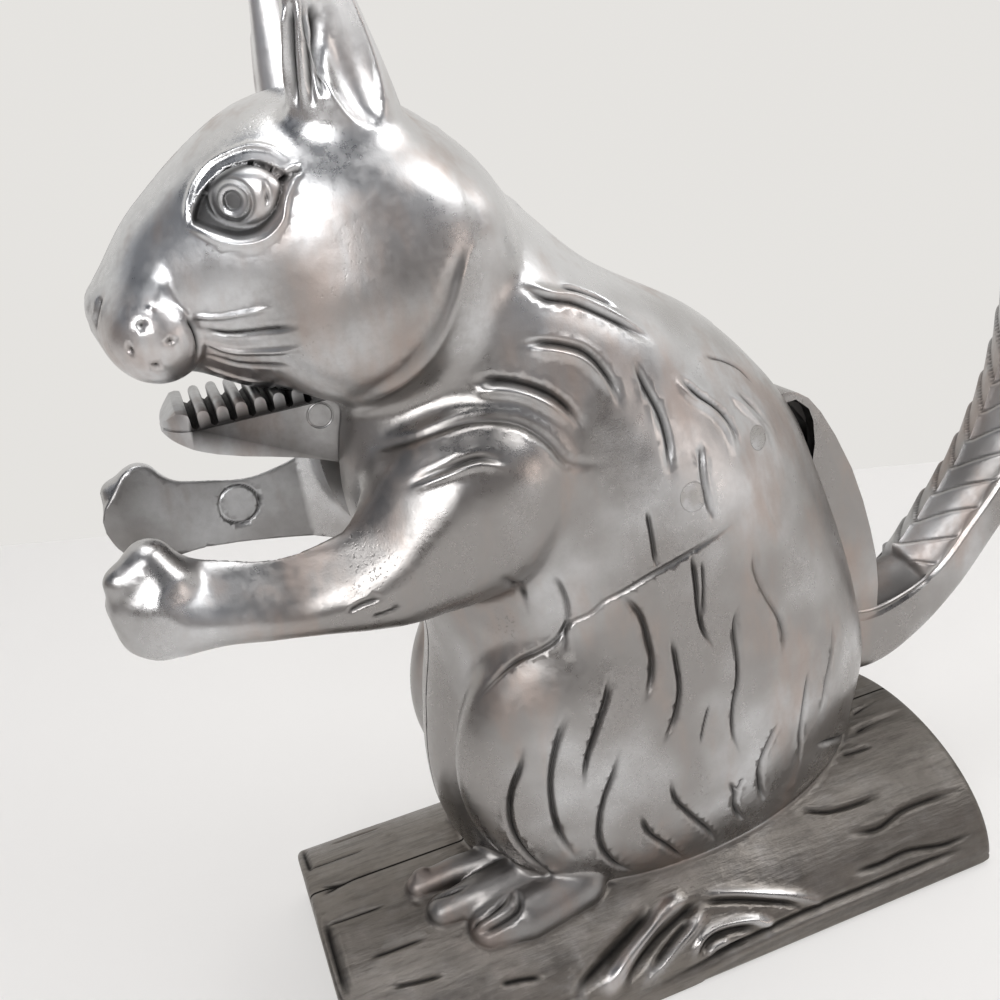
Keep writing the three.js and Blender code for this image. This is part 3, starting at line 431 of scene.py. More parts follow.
        (CUT, 1.3, 1.4, (-7.2, -27.5, 16.5), (-11.1, -28.9, 15.2), (-15.9, -30.3, 13.5), (-21.2, -31.8, 11.5),
         (-25, -32.7, 9.8), (-28.4, -33.5, 7.7)),
        (WELT, 1.8, 1.5, (0.2, -27.2, 16.8), (-6.2, -28.8, 15.3), (-11.7, -30.4, 13.4), (-16.6, -32, 11),
         (-19.8, -33.4, 8), (-22.1, -34.2, 5.1)),
        (CUT, 0.9, 1.2, (3.2, -28.9, 15.2), (-2.5, -30, 13.9), (-9, -31.4, 12), (-13.7, -32.8, 9.5),
         (-17.8, -34.1, 5.8)),
        (WELT, 1.3, 1.1, (3, -30.5, 13.3), (-1.5, -31.8, 11.4), (-7.3, -33, 9.1), (-11.5, -33.8, 6.8),
         (-14.8, -34.4, 3.3)),
        (CUT, 0.7, 0.9, (-0.7, -30.7, 13.1), (-4.5, -31.7, 11.6), (-7.9, -32.6, 9.9), (-11.7, -33.6, 7.5)),
    ),
    "knot": (
        (WELT, 1.1, 1.1, (-3.2, -33.9, 6.3), (-0.9, -33.1, 8.8), (3, -32.4, 10.3), (8.1, -32.6, 10), (13, -33.1, 8.8),
         (15.5, -33.9, 6.2), (14.3, -34.3, 4.5)),
        (CUT, 0.8, 1.1, (-0.8, -33.8, 6.8), (1.3, -33.2, 8.6), (4.8, -33, 9.1), (9.6, -33.3, 8.4), (12.9, -33.8, 6.8)),
        (WELT, 0.8, 0.8, (0.4, -33.9, 6.3), (3, -33.6, 7.6), (6.2, -33.5, 7.6)),
        (CUT, 0.6, 0.7, (1.5, -34.2, 5.2), (4.4, -34, 5.8), (7.6, -34, 5.9), (10.8, -34, 5.9)),
    ),
    "dash": (
        (CUT, 0.4, 0.4, (-68.6, -9.2, 25.1), (-64.6, -9.3, 25.1), (-59.9, -9.4, 25.1), (-55.8, -9.5, 25.1)),
        (CUT, 0.4, 0.4, (-62.3, -18.7, 22.2), (-58.3, -18.8, 22.2), (-54.7, -18.8, 22.2), (-50.8, -18.8, 22.2)),
        (CUT, 0.4, 0.4, (-60, -24.4, 19), (-54.7, -25.1, 18.5), (-49.5, -25.6, 18.2)),
        (CUT, 0.7, 0.5, (-40.7, -29.4, 14.6), (-36.7, -29.8, 14.2), (-32, -30.6, 13.2)),
    ),
    "top": (
        (CUT, 0.5, 0.4, (-67.5, -1.2, 26), (-61.3, 0.3, 26), (-53.7, 0.7, 26)),
        (CUT, 0.5, 0.4, (-62.4, 5.4, 25.7), (-54.8, 5.2, 25.7), (-47.2, 4.7, 25.8)),
    ),
    "end": (
        (CUT, 0.8, 0.8, (-68.3, -7.9, 25.4), (-68.5, -12.6, 24.4), (-68.6, -18.7, 22.2), (-68.5, -23.8, 19.5)),
    ),
    "stroke": (
        (CUT, 0.4, 0.4, (-52.8, -29.9, 99.2), (-50.4, -30.2, 100), (-47.2, -30.7, 100.3)),
        (CUT, 0.35, 0.35, (-49.3, -30.1, 97.1), (-46.7, -30.5, 97.5), (-44.3, -30.8, 98)),
    ),
    "wrist": (
        (CUT, 0.5, 0.4, (-68.9, 21.8, 106.2), (-66.4, 22.3, 102.8), (-63.5, 22.5, 100.1)),
    ),
    "ear": (
        (CUT, 0.55, 0.8, (-40, -17.9, 187.9), (-40.6, -17.5, 184.3), (-41.2, -17, 180.4), (-41.7, -16.7, 176.4),
         (-41.8, -16.6, 173.3)),
        (CUT, 0.55, 0.8, (-37.9, -17.6, 187.7), (-38.6, -18.3, 184), (-39.2, -18.3, 180), (-39.6, -18, 176),
         (-39.6, -18, 173.5)),
        (CUT, 1, 1.5, (-36.3, -16.5, 187.6), (-36.8, -16.5, 183.9), (-37.7, -18.1, 179.8), (-38.1, -18.6, 176.5),
         (-37.9, -18.6, 174.6)),
        (WELT, 0.6, 0.5, (-40.8, -17.1, 187.7), (-41.5, -16.4, 183.2), (-42.4, -15.4, 177.9), (-42.6, -15.6, 174)),
    ),
    "muzzle": (
        (CUT, 0.6, 0.7, (-64.8, -15.3, 147.5), (-64.1, -15.2, 145.5), (-64, -14.6, 142.7), (-64.9, -13.2, 139.9)),
        (CUT, 0.7, 0.6, (-76.1, -7.7, 152), (-77.3, -8.1, 149.8), (-78.3, -6.5, 146.9)),
    ),
    "lid": (
        (WELT, 0.55, 0.55, (-61.5, -14.3, 160.3), (-60.3, -13.1, 163.4), (-58.5, -12.1, 165.9), (-56.1, -12, 168),
         (-52.7, -13.1, 169.3), (-49.1, -14.8, 169.7), (-46.2, -17, 168.5), (-44.8, -18.8, 166.8)),
        (WELT, 0.55, 0.5, (-61.5, -14.3, 160.3), (-59.3, -16.3, 158.9), (-57.1, -18, 157.4), (-54.3, -19.5, 156.6),
         (-51, -20.8, 156.9), (-48.2, -21.3, 158.9), (-46.8, -20.8, 161.9), (-45.3, -20.3, 163.9),
         (-42.5, -19.8, 166)),
    ),
    "eye_fold": (
        (CUT, 0.35, 0.35, (-49.4, -18.2, 165.3), (-49.3, -19.2, 163.6), (-49.8, -19.8, 161.8), (-50.9, -19.9, 160.3)),
    ),
    "foot_hook": (
        (CUT, 0.7, 0.8, (-41.8, -23.5, 22.4), (-37.5, -24.7, 23.9), (-33.3, -24.2, 25.7), (-32.2, -20.9, 27.1)),
    ),
    "toe_gap": (
        (CUT, 0.5, 0.6, (-50.8, -11.5, 24.6), (-46.1, -14.9, 27), (-40.2, -16.8, 28.4)),
        (CUT, 0.5, 0.6, (-45.7, -20.4, 21.4), (-41.7, -21.9, 23.5), (-36.1, -22.1, 26), (-33.2, -21.1, 26.9)),
    ),
    "lid_corner": (
        (CUT, 0.5, 0.6, (-46.2, -19.6, 164.7), (-45, -19.6, 165.4), (-43.6, -19.8, 165.7)),
    ),
    "paw_ring": (
        (CUT, 0.25, 0.35, *ring_points((-62.9, -22.5, 103.4), 3.9, 24)),
    ),
    "muzzle_pit": (
        (CUT, 0.5, 0.5, (-71.6, -16.7, 147.9)),
        (CUT, 0.5, 0.5, (-74, -16.1, 144.5)),
        (CUT, 0.5, 0.5, (-68, -17.4, 144.7)),
        (CUT, 0.5, 0.5, (-71, -16.5, 141.4)),
    ),
    "muzzle_bump": (
        (WELT, 0.6, 0.35, (-69.3, -15.9, 149.8)),
    ),
}
FAINT = {"crease_0": 0.8, "shoulder_0": 0.6, "cheek_1": 0.3}
MARKS = tuple(
    Mark(f"{group}_{i}", kind, half_width, depth, tuple(points), FAINT.get(f"{group}_{i}", 1.0))
    for group, rows in CARVED.items() for i, (kind, half_width, depth, *points) in enumerate(rows)
)


@dataclass(frozen=True)
class Torso:
    """Body from the log to the nape: rows of height, belly, back and half width."""

    rows: tuple = (
        (10, -24, 40, 18), (18, -29, 46, 21.5), (26, -35.9, 53.9, 25), (36, -39.5, 57.0, 27.8),
        (47, -40.2, 59.2, 29.7), (60, -38.5, 57.8, 30.5), (78, -35.2, 53.6, 30.3), (92, -37.9, 49.4, 29.6),
        (103, -42, 45.7, 28.8), (115, -44.1, 38, 27.3), (128, -45.1, 25.7, 25), (141, -41, 5.9, 22),
        (151.5, -40, -4.3, 18.5), (160, -36.9, -12.4, 14), (166, -34, -18, 9),
    )
    thigh: tuple = ((3.5, -16.5, 55), (42.5, 15.2, 36), 20)
    chest: tuple = ((-33, -9, 112), (14, 12, 20))

    def trunk(self, p: Array) -> Array:
        """Distance to the trunk alone."""
        x, y, z = p.T
        (front, back, wide), past = sections(self.rows, z)
        side = oval(x - (front + back) / 2, y, (back - front) / 2, wide)
        return np.maximum(side, past)


@dataclass(frozen=True)
class Head:
    """Head from the nose back: rows of place, lowest line, highest line and half width."""

    rows: tuple = (
        (-79.2, 145.5, 149.5, 2), (-78, 142.3, 152, 6.0), (-75, 139.6, 155.9, 9.0), (-70.5, 137.5, 161.3, 12.2),
        (-65.1, 136, 166, 14.8), (-57.9, 132, 171.3, 18.4), (-50, 129, 175.6, 21.6), (-40, 126.8, 177.4, 24.2),
        (-30, 128, 175.6, 25), (-20, 133, 169.5, 23.4), (-12, 140, 161, 18), (-7.5, 147, 153, 8),
    )
    cheek: tuple = ((-34, -13.5, 141.5), (19, 12.5, 14.5), 8)
    muzzle: tuple = ((-69.6, -9.0, 145.0), (7.9, 8.6, 8.0), -20)
    nose: tuple = ((-75.6, -3.0, 149.6), (3.6, 3.6, 3.6))
    cheek_blend: float = 6
    nose_blend: float = 1.2
    crease_ends: tuple = (-66.5, -71.5)
    crease_lean: float = 0.55
    crease_height: float = 147

    def skull(self, p: Array) -> Array:
        """Distance to the head without muzzle and eyes."""
        x, y, z = p.T
        (low, high, wide), past = sections(self.rows, x)
        side = oval(y, z - (low + high) / 2, wide, (high - low) / 2)
        return np.maximum(side, past)

    def field(self, p: Array) -> Array:
        """Distance to the whole head; the muzzle's seam grows soft towards the nose."""
        head = soft_min(self.skull(p), egg(p, *self.cheek), self.cheek_blend)
        lean = self.crease_lean * np.maximum(p[:, 2] - self.crease_height, 0)
        crease = smooth_step(*self.crease_ends, p[:, 0] - lean)
        head = soft_min(head, egg(p, *self.muzzle), 0.8 + 4.2 * crease)
        return soft_min(head, egg(p, *self.nose), self.nose_blend)


@dataclass(frozen=True)
class Eye:
    """Eyeball behind an almond of lids, with a raised ring round a hollow pupil."""

    lid: tuple = (
        (-60.6, 160.5), (-60.0, 162.4), (-58.4, 164.5), (-56.0, 166.3), (-52.9, 167.7), (-49.6, 167.9), (-47.4, 166.8),
        (-45.4, 165.4), (-43.9, 164.9), (-45.4, 164.4), (-46.5, 163.2), (-48.1, 160.3), (-49.7, 158.7), (-52.1, 157.4),
        (-54.8, 157.3), (-57.2, 158.3), (-59.4, 159.6),
    )
    ball: tuple = ((-52.0, -15.7, 162.7), (6.1, 2.9, 4.7), 0, -30)
    pupil: tuple = (-54.2, 162.8)
    stretch: float = 1.15
    rim_radius: float = 2.35
    rim_width: float = 0.4
    rim_rise: float = 0.35
    groove_radius: float = 3.1
    groove_width: float = 0.35
    groove_depth: float = 0.25
    pupil_edge: tuple = (1.75, 1.1)
    pupil_depth: float = 0.75
    socket_depth: float = 2.1
    blend: float = 0.25
    reach: tuple = ((-68, -FAR, 150), (-36, FAR, 175))

    def inside_lids(self, p: Array) -> Array:
        """Distance to the lids' almond outline, seen from the side: negative inside it."""
        ring = np.array(self.lid[-3:] + self.lid + self.lid[:3], float)
        keyed = np.column_stack([np.arange(len(ring)), ring])
        outline = smooth_rows(keyed, 4 * (len(ring) - 1) + 1)[12:-8, 1:]
        flat = p[:, [0, 2]]
        gap, _ = along_line(flat, outline)
        inside = np.zeros(len(p), bool)
        for (x0, z0), (x1, z1) in zip(outline[:-1], outline[1:]):
            crosses = (z0 > flat[:, 1]) != (z1 > flat[:, 1])
            at = x0 + (flat[:, 1] - z0) * (x1 - x0) / (z1 - z0 if z1 != z0 else 1e-9)
            inside ^= crosses & (flat[:, 0] < at)
        return np.where(inside, -gap, gap)

    def from_pupil(self, p: Array) -> Array:
        """Distance from the pupil's middle, seen from the side."""
        return np.hypot(self.stretch * (p[:, 0] - self.pupil[0]), p[:, 2] - self.pupil[1])

    def let_in(self, p: Array, skin: Array) -> Array:
        """Sinks the skin inside the lids and sets the eyeball there.

        Args:
            p: Points of the whole figure.
            skin: Distance of each to the plain skin.

        Returns:
            Distance of each to the skin with its eye.
        """
        near = np.nonzero(within(p, *self.reach))[0]
        q = p[near]
        sunk = skin[near] + self.socket_depth * smooth_step(0.1, -1.2, self.inside_lids(q))
        eyeball, ring = egg(q, *self.ball), self.from_pupil(q)
        eyeball -= self.rim_rise * bell(ring, self.rim_radius, self.rim_width)
        eyeball += (
            self.groove_depth * bell(ring, self.groove_radius, self.groove_width)
            + self.pupil_depth * smooth_step(*self.pupil_edge, ring)
        )
        whole = skin.copy()
        whole[near] = soft_min(sunk, eyeball, self.blend)
        return whole

    def shade(self, p: Array) -> Array:
        """Patina in the trough round the eyeball and in its pupil."""
        lids = self.inside_lids(p)
        trough = 0.85 * smooth_step(-0.15, -0.6, lids) * smooth_step(0.05, 0.5, egg(p, *self.ball))
        wall = 0.85 * bell(lids, -0.7, 0.5)
        ring = self.from_pupil(p)
        pupil = 0.75 * smooth_step(1.7, 1.0, ring) + 0.45 * bell(ring, 3.2, 0.5)
        shade = np.maximum(np.maximum(trough, wall), pupil * (lids < -0.3))
        return np.where((p[:, 1] < -9) & (p[:, 2] > 150) & (lids < 0.5), shade, 0)


@dataclass(frozen=True)
class Arm:
    """Arm from the paw to the shoulder: rows of place, middle height, half depth and outer side."""

    rows: tuple = (
        (-87.9, 106.6, 1.2, 21), (-87.2, 106.4, 3.2, 23.5), (-86, 106.1, 4.9, 25), (-83.4, 104.9, 7.1, 27.5),
        (-79, 104.6, 7.9, 28.8), (-76, 104.6, 7.8, 29), (-72, 104.2, 7.5, 29), (-66, 103.2, 7.5, 29.2),
        (-58, 102.2, 7.9, 29.8), (-50, 101.5, 8.9, 30.6), (-44, 102, 11, 31.2), (-38, 104, 14.5, 31.2),
        (-28, 106.4, 17, 30.2), (-18, 107.5, 15, 27.6), (-12, 108, 9, 24),
    )
    inner: tuple = ((-90, 18.8), (-85, 19), (-65, 22.5), (-50, 22.5), (-44, 20), (-36, 14), (-12, 12))
    bevel: tuple = (
        (-90, 152), (-80, 146), (-77, 142), (-74, 140), (-66.7, 138.1), (-59, 136.8), (-50.8, 139.1),
        (-42.3, 143.8), (-35.4, 148.5), (-28, 156),
    )
    slope: float = 1.25
    knuckles: tuple = ((-84.6, -23.2, 111.6, 2.6), (-85.0, -23.6, 106.8, 2.2), (-83.5, -23, 102.3, 3.4))
    thumb: tuple = ((-79.9, -21.6, 112.5, 4.2), (-77.6, -23.2, 109.6, 3.4))
    shoulder: tuple = ((-25, -17.5, 109), (21, 13.5, 17), 10)
    knuckle_blend: float = 3.0
    thumb_blend: float = 2.6
    fullness: float = 2.5

    def inner_side(self, x: Array) -> Array:
        """Distance of the arm's flat inner side from the seam."""
        return np.interp(x, *np.array(self.inner, float).T)

    def field(self, p: Array) -> Array:
        """Distance to the arm and its shoulder, flat on the side of the jaw, with a ridge above."""
        x, y, z = p.T
        (middle, deep, out), past = sections(self.rows, x)
        inner = self.inner_side(x)
        whole = np.maximum(plump(y + inner, z - middle, out - inner, deep, self.fullness), past)
        (crest,), _ = sections(self.bevel, x)
        ridge = (z - self.slope * y - crest) / math.hypot(1, self.slope)
        whole = soft_max(whole, ridge, 2.4)
        for *place, radius in self.knuckles:
            whole = soft_min(whole, np.linalg.norm(p - place, axis=1) - radius, self.knuckle_blend)
        whole = soft_min(whole, chain(p, self.thumb), self.thumb_blend)
        flat = soft_max(whole, y + inner, 0.6)
        return soft_min(flat, egg(p, *self.shoulder), 5)


@dataclass(frozen=True)
class Ear:
    """Leaf-shaped ear: rows of height, middle place, half width, half thickness and side."""

    rows: tuple = (
        (166, -34.2, 9.6, 6.0, -13.0), (172, -34.5, 8.8, 5.4, -13.6), (178, -34.9, 7.7, 4.6, -14.4),
        (184, -35.4, 6.4, 3.9, -15.2), (190, -35.9, 5.0, 3.2, -16.0), (196, -36.5, 3.5, 2.4, -16.6),
        (201, -37.0, 1.9, 1.5, -17.0), (203.8, -37.3, 0.5, 0.5, -17.2),
    )
    bowl: tuple = ((-33.5, -20.4, 181.5), (5.1, 4.8, 13.0), 12)

    def field(self, p: Array) -> Array:
        """Distance to the ear with its bowl."""
        x, y, z = p.T
        (middle, wide, thick, out), past = sections(self.rows, z)
        leaf = np.maximum(oval(x - middle, y - out, wide, thick), past)
        return soft_max(leaf, -egg(p, *self.bowl), 0.7)


@dataclass(frozen=True)
class Foot:
    """Hind foot with four toes; the right one is set back under the flank."""

    sole: tuple = ((-29, -15, 22.6), (14, 10.5, 5.4), 0, 14)
    toes: tuple = (
        ((-49.0, -8.6, 25.7, 2.5), (-41, -9.0, 26.6, 2.9), (-28, -11, 27.5, 3.2)),
        ((-46.2, -15.6, 23.8, 3.2), (-38, -16.0, 25.0, 3.9), (-25, -16, 26.5, 4.4)),
        ((-38.8, -21.4, 20.8, 4.0), (-31, -22.0, 21.6, 5.0), (-19, -20.5, 23.4, 5.4)),
        ((-48.4, -8.0, 28.0, 1.1), (-47.4, -8.0, 28.1, 1.1)),
    )
    set_back: float = 14.0

    def field(self, p: Array, side: Side) -> Array:
        """Distance to the foot of one side."""
        q = p - np.array([self.set_back if side is Side.RIGHT else 0.0, 0, 0])
        foot = egg(q, *self.sole)
        for toe in self.toes:
            foot = soft_min(foot, chain(q, toe), 1.1)
        return foot


@dataclass(frozen=True)
class LogBase:
    """Half-round log on a low lip."""

    half_length: float = LOG_HALF_LENGTH
    half_width: float = 34.4
    height: float = 26
    lip: float = 2.4

    def field(self, p: Array) -> Array:
        """Distance to the log."""
        x, y, z = p.T
        arch = oval(y, z - self.lip, self.half_width, self.height - self.lip)
        low = np.maximum(np.abs(y) - self.half_width, z - self.lip)
        side = np.maximum(np.where(z > self.lip, arch, low), -z)
        return soft_max(side, np.abs(x) - self.half_length, 1.6)


@dataclass
class Figure:
    """The sitting squirrel on its log, as a field over its left half."""

    torso: Torso = field(default_factory=Torso)
    head: Head = field(default_factory=Head)
    eye: Eye = field(default_factory=Eye)
    arm: Arm = field(default_factory=Arm)
    ear: Ear = field(default_factory=Ear)
    foot: Foot = field(default_factory=Foot)
    log: LogBase = field(default_factory=LogBase)
    core_floor: float = 4.0
    chest_blend: float = 6
    arm_blend: float = 2.5
    thigh_blend: float = 2.2
    neck_blend: float = 3.0
    foot_blend: float = 1.0
    base_blend: float = 1.6
    ear_blend: float = 2.2

    def skin(self, p: Array, side: Side) -> Array:
        """Distance to the uncarved skin of one side, folded onto the left."""
        body = soft_min(self.torso.trunk(p), egg(p, *self.torso.chest), self.chest_blend)
        body = soft_min(body, self.arm.field(p), self.arm_blend)
        body = soft_min(body, egg(p, *self.torso.thigh), self.thigh_blend)
        whole = soft_min(body, self.head.field(p), self.neck_blend)
        base = soft_min(self.log.field(p), self.foot.field(p, side), self.foot_blend)
        whole = soft_min(whole, base, self.base_blend)
        return soft_min(whole, self.ear.field(p), self.ear_blend)

    def core(self, p: Array, wall: float) -> Array:
        """Distance to the hollow inside the pair of castings."""
        inside = np.minimum(self.torso.trunk(p), self.head.skull(p)) + wall
        inside = np.minimum(inside, self.log.field(p) + wall)
        return np.maximum(inside, self.core_floor - p[:, 2])

    def dressed(self, p: Array, side: Side) -> Array:
        """Distance to the skin with its eye, which is too deep to be a mark."""
        return self.eye.let_in(p, self.skin(p, side))


@dataclass(frozen=True)
class Net:
    """Surface net over a field: grid step and the box that it covers."""

    low: tuple[float, float, float]
    high: tuple[float, float, float]
    step: float

    def faces(self, form: Field) -> tuple[Array, Array]:
        """Walks the grid and joins the cells that the surface crosses.

        Args:
            form: The field.

        Returns:
            Points and four-cornered faces whose normals point outwards.
        """
        axes = [np.arange(a, b + self.step, self.step) for a, b in zip(self.low, self.high)]
        shape = tuple(len(a) for a in axes)
        nodes = np.stack(np.meshgrid(*axes, indexing="ij"), -1).reshape(-1, 3)
        value = np.concatenate([form(part) for part in np.array_split(nodes, 12)]).reshape(shape)
        inside = value < 0
        cells = tuple(n - 1 for n in shape)
        total, hits = np.zeros(cells + (3,)), np.zeros(cells)
        corners = [(i, j, k) for i in (0, 1) for j in (0, 1) for k in (0, 1)]
        for a in corners:
            for axis in range(3):
                if a[axis]:
                    continue
                b = tuple(v + (n == axis) for n, v in enumerate(a))
                cut_a = tuple(slice(v, v + c) for v, c in zip(a, cells))
                cut_b = tuple(slice(v, v + c) for v, c in zip(b, cells))
                crossed = inside[cut_a] != inside[cut_b]
                share = value[cut_a] / np.where(crossed, value[cut_a] - value[cut_b], 1)
                place = np.broadcast_to(np.array(a, float), cells + (3,)).copy()
                place[..., axis] += share
                total += np.where(crossed[..., None], place, 0)
                hits += crossed
        active = hits > 0
        index = np.full(cells, -1)
        index[active] = np.arange(active.sum())
        where = np.argwhere(active)
        origin = np.array([a[0] for a in axes])
        points = origin + (where + total[active] / hits[active][:, None]) * self.step
        quads = []
        for axis in range(3):
            u, v = (axis + 1) % 3, (axis + 2) % 3
            first = [slice(1, -1)] * 3
            second = [slice(1, -1)] * 3
            first[axis], second[axis] = slice(0, -1), slice(1, None)
            a, b = inside[tuple(first)], inside[tuple(second)]
            for crossing, flip in ((a & ~b, False), (~a & b, True)):
                at = np.argwhere(crossing)
                at += 1
                at[:, axis] -= 1
                ring = []
                for du, dv in ((-1, -1), (0, -1), (0, 0), (-1, 0)):
                    cell = at.copy()
                    cell[:, u] += du
                    cell[:, v] += dv
                    ring.append(index[cell[:, 0], cell[:, 1], cell[:, 2]])
                quad = np.stack(ring, 1)
                quads.append(quad[:, ::-1] if flip else quad)
        return points, np.concatenate(quads)


def steepness(form: Field, p: Array, step: float = 0.04) -> Array:
    """Gradient of a field at points, by central differences."""
    slope = np.empty_like(p)
    for axis in range(3):
        nudge = np.zeros(3)
        nudge[axis] = step
        slope[:, axis] = (form(p + nudge) - form(p - nudge)) / (2 * step)
    return slope


@dataclass(frozen=True)
class SkinRecord:
    """Places, normals and patina of a carved skin, kept for the casting that is cut out of it."""

    places: Array
    normals: Array
    patina: Array

    def mirrored(self) -> "SkinRecord":
        """The same record on the other side of the seam."""
        flip = np.array([1, -1, 1])
        return SkinRecord(self.places * flip, self.normals * flip, self.patina)

    def nearest(self, p: Array) -> tuple[Array, Array]:
        """Finds the skin's point next to each point.

        Args:
            p: Points of the finished casting.

        Returns:
            Each point's nearest index on the skin and how far off it is.
        """
        tree = KDTree(len(self.places))
        for index, place in enumerate(self.places.tolist()):
            tree.insert(place, index)
        tree.balance()
        found = [tree.find(place)[1:] for place in p.tolist()]
        return np.array([f[0] for f in found]), np.array([f[1] for f in found])


def settle(form: Field, p: Array, rounds: int = 3) -> Array:
    """Moves points onto the surface of a field, a short step at a time."""
    p = p.copy()
    for _ in range(rounds):
        slope = steepness(form, p)
        size = np.maximum((slope**2).sum(1), 0.05)
        p -= np.clip(form(p) / size, -1, 1)[:, None] * slope
    return p


def read_all(rows: bpy.types.bpy_prop_collection, key: str, width: int = 1, kind: type = np.float64) -> Array:
    """Reads one property of every row of a mesh.

    Args:
        rows: Vertices, corners, faces or an attribute's values.
        key: The property.
        width: How many numbers it has.
        kind: Their type.

    Returns:
        The numbers, one row each where there are several.
    """
    values = np.empty(len(rows) * width, kind)
    rows.foreach_get(key, values)
    return values.reshape(-1, width) if width > 1 else values


class Bench:
    """Blender operators that the pieces share."""

    @staticmethod
    def clear() -> None:
        """Leaves nothing selected or active, in object mode."""
        if bpy.context.object and bpy.context.object.mode != "OBJECT":
            bpy.ops.object.mode_set(mode="OBJECT")
        bpy.ops.object.select_all(action="DESELECT")

    @staticmethod
    def hold(piece: bpy.types.Object) -> None:
        """Selects one piece alone and makes it active."""
        Bench.clear()
        piece.select_set(True)
        bpy.context.view_layer.objects.active = piece

    @staticmethod
    @contextmanager
    def editing(piece: bpy.types.Object) -> Iterator[None]:
        """Holds a piece in edit mode with all of it selected."""
        Bench.hold(piece)
        bpy.ops.object.mode_set(mode="EDIT")
        bpy.ops.mesh.select_all(action="SELECT")
        yield
        bpy.ops.object.mode_set(mode="OBJECT")

    @staticmethod
    def from_net(name: str, points: Array, faces: Array) -> bpy.types.Object:
        """Makes an object from a net's points and faces, still in millimetres."""
        mesh = bpy.data.meshes.new(name)
        mesh.from_pydata(points.tolist(), [], faces.tolist())
        mesh.update()
        piece = bpy.data.objects.new(name, mesh)
        bpy.context.scene.collection.objects.link(piece)
        return piece

    @staticmethod
    def points(piece: bpy.types.Object) -> Array:
        """A piece's vertices, one a row."""
        return read_all(piece.data.vertices, "co", 3)

    @staticmethod
    def place(piece: bpy.types.Object, points: Array) -> None:
        """Puts a piece's vertices at new places."""
        piece.data.vertices.foreach_set("co", points.ravel())
        piece.data.update()

    @staticmethod
    def write(piece: bpy.types.Object, name: str, values: Array, domain: str = "POINT") -> None:
        """Stores one number for each vertex, or for each edge."""
        layers = piece.data.attributes
        layer = layers.get(name) or layers.new(name, "FLOAT", domain)
        layer.data.foreach_set("value", np.ascontiguousarray(values.ravel(), np.float32))

    @staticmethod
    def extruded(name: str, corners: Sequence[Sequence[float]], way: Sequence[float]) -> bpy.types.Object:
        """Pulls a flat outline out into a closed solid.

        Args:
            name: The piece's name.
            corners: The outline's corners, in order.
            way: How far it is pulled.

        Returns:
            The solid.
        """
        Bench.clear()
        bpy.ops.mesh.primitive_circle_add(vertices=len(corners), fill_type="NGON")
        piece = bpy.context.object
        piece.name = name
        Bench.place(piece, np.array(corners, float))
        with Bench.editing(piece):
            bpy.ops.mesh.extrude_region_move(TRANSFORM_OT_translate={"value": way})
            bpy.ops.mesh.select_all(action="SELECT")
            bpy.ops.mesh.normals_make_consistent(inside=False)
        return piece

    @staticmethod
    def plate(name: str, outline: Sequence[Sequence[float]], y0: float, y1: float) -> bpy.types.Object:
        """Cuts a plate to an outline (x, z) seen from the side, from y0 to y1."""
        return Bench.extruded(name, [(x, y0, z) for x, z in outline], (0, y1 - y0, 0))

    @staticmethod
    def plan(name: str, outline: Sequence[Sequence[float]], z0: float, z1: float) -> bpy.types.Object:
        """Cuts a block to an outline (x, y) seen from above, from z0 up to z1."""
        return Bench.extruded(name, [(x, y, z0) for x, y in outline], (0, 0, z1 - z0))

    @staticmethod
    def bar(name: str, x: float, z: float, radius: float, y0: float, y1: float, sides: int = 48) -> bpy.types.Object:
        """Round bar along Y between two places."""
        Bench.clear()
        bpy.ops.mesh.primitive_cylinder_add(
            vertices=sides, radius=radius, depth=y1 - y0,
            location=(x, (y0 + y1) / 2, z), rotation=(math.pi / 2, 0, 0),
        )
        piece = bpy.context.object
        piece.name = name
        bpy.ops.object.transform_apply(location=True, rotation=True, scale=True)
        return piece

    @staticmethod
    def alter(piece: bpy.types.Object, kind: str, **settings: object) -> None:
        """Applies one modifier with its settings."""
        Bench.hold(piece)
        step = piece.modifiers.new("step", kind)
        for key, value in settings.items():
            setattr(step, key, value)
        bpy.ops.object.modifier_apply(modifier=step.name)

    @staticmethod
    def combine(piece: bpy.types.Object, tool: bpy.types.Object, operation: str, keep: bool = False) -> None:
        """Joins a tool to a piece or cuts it away.

        Args:
            piece: The piece that changes.
            tool: The other solid.
            operation: UNION, DIFFERENCE or INTERSECT.
            keep: True if the tool is needed again.
        """
        Bench.alter(piece, "BOOLEAN", operation=operation, solver="MANIFOLD", object=tool)
        if not keep:
            bpy.data.objects.remove(tool, do_unlink=True)

    @staticmethod
    def round_edges(piece: bpy.types.Object, width: float, segments: int, where: Callable[[Vector], bool]) -> None:
        """Rounds a piece's sharp edges.

        Args:
            piece: The piece.
            width: How far the rounding reaches.
            segments: Faces across it.
            where: Test that both ends of an edge pass.
        """
        least = math.radians(40)
        bm = bmesh.new()
        bm.from_mesh(piece.data)
        sharp = []
        for edge in bm.edges:
            bends = len(edge.link_faces) == 2 and edge.calc_face_angle(0) > least
            sharp.append(bends and all(where(vert.co) for vert in edge.verts))
        bm.free()
        Bench.write(piece, "bevel_weight_edge", np.array(sharp), "EDGE")
        Bench.alter(piece, "BEVEL", width=width, segments=segments, limit_method="WEIGHT")

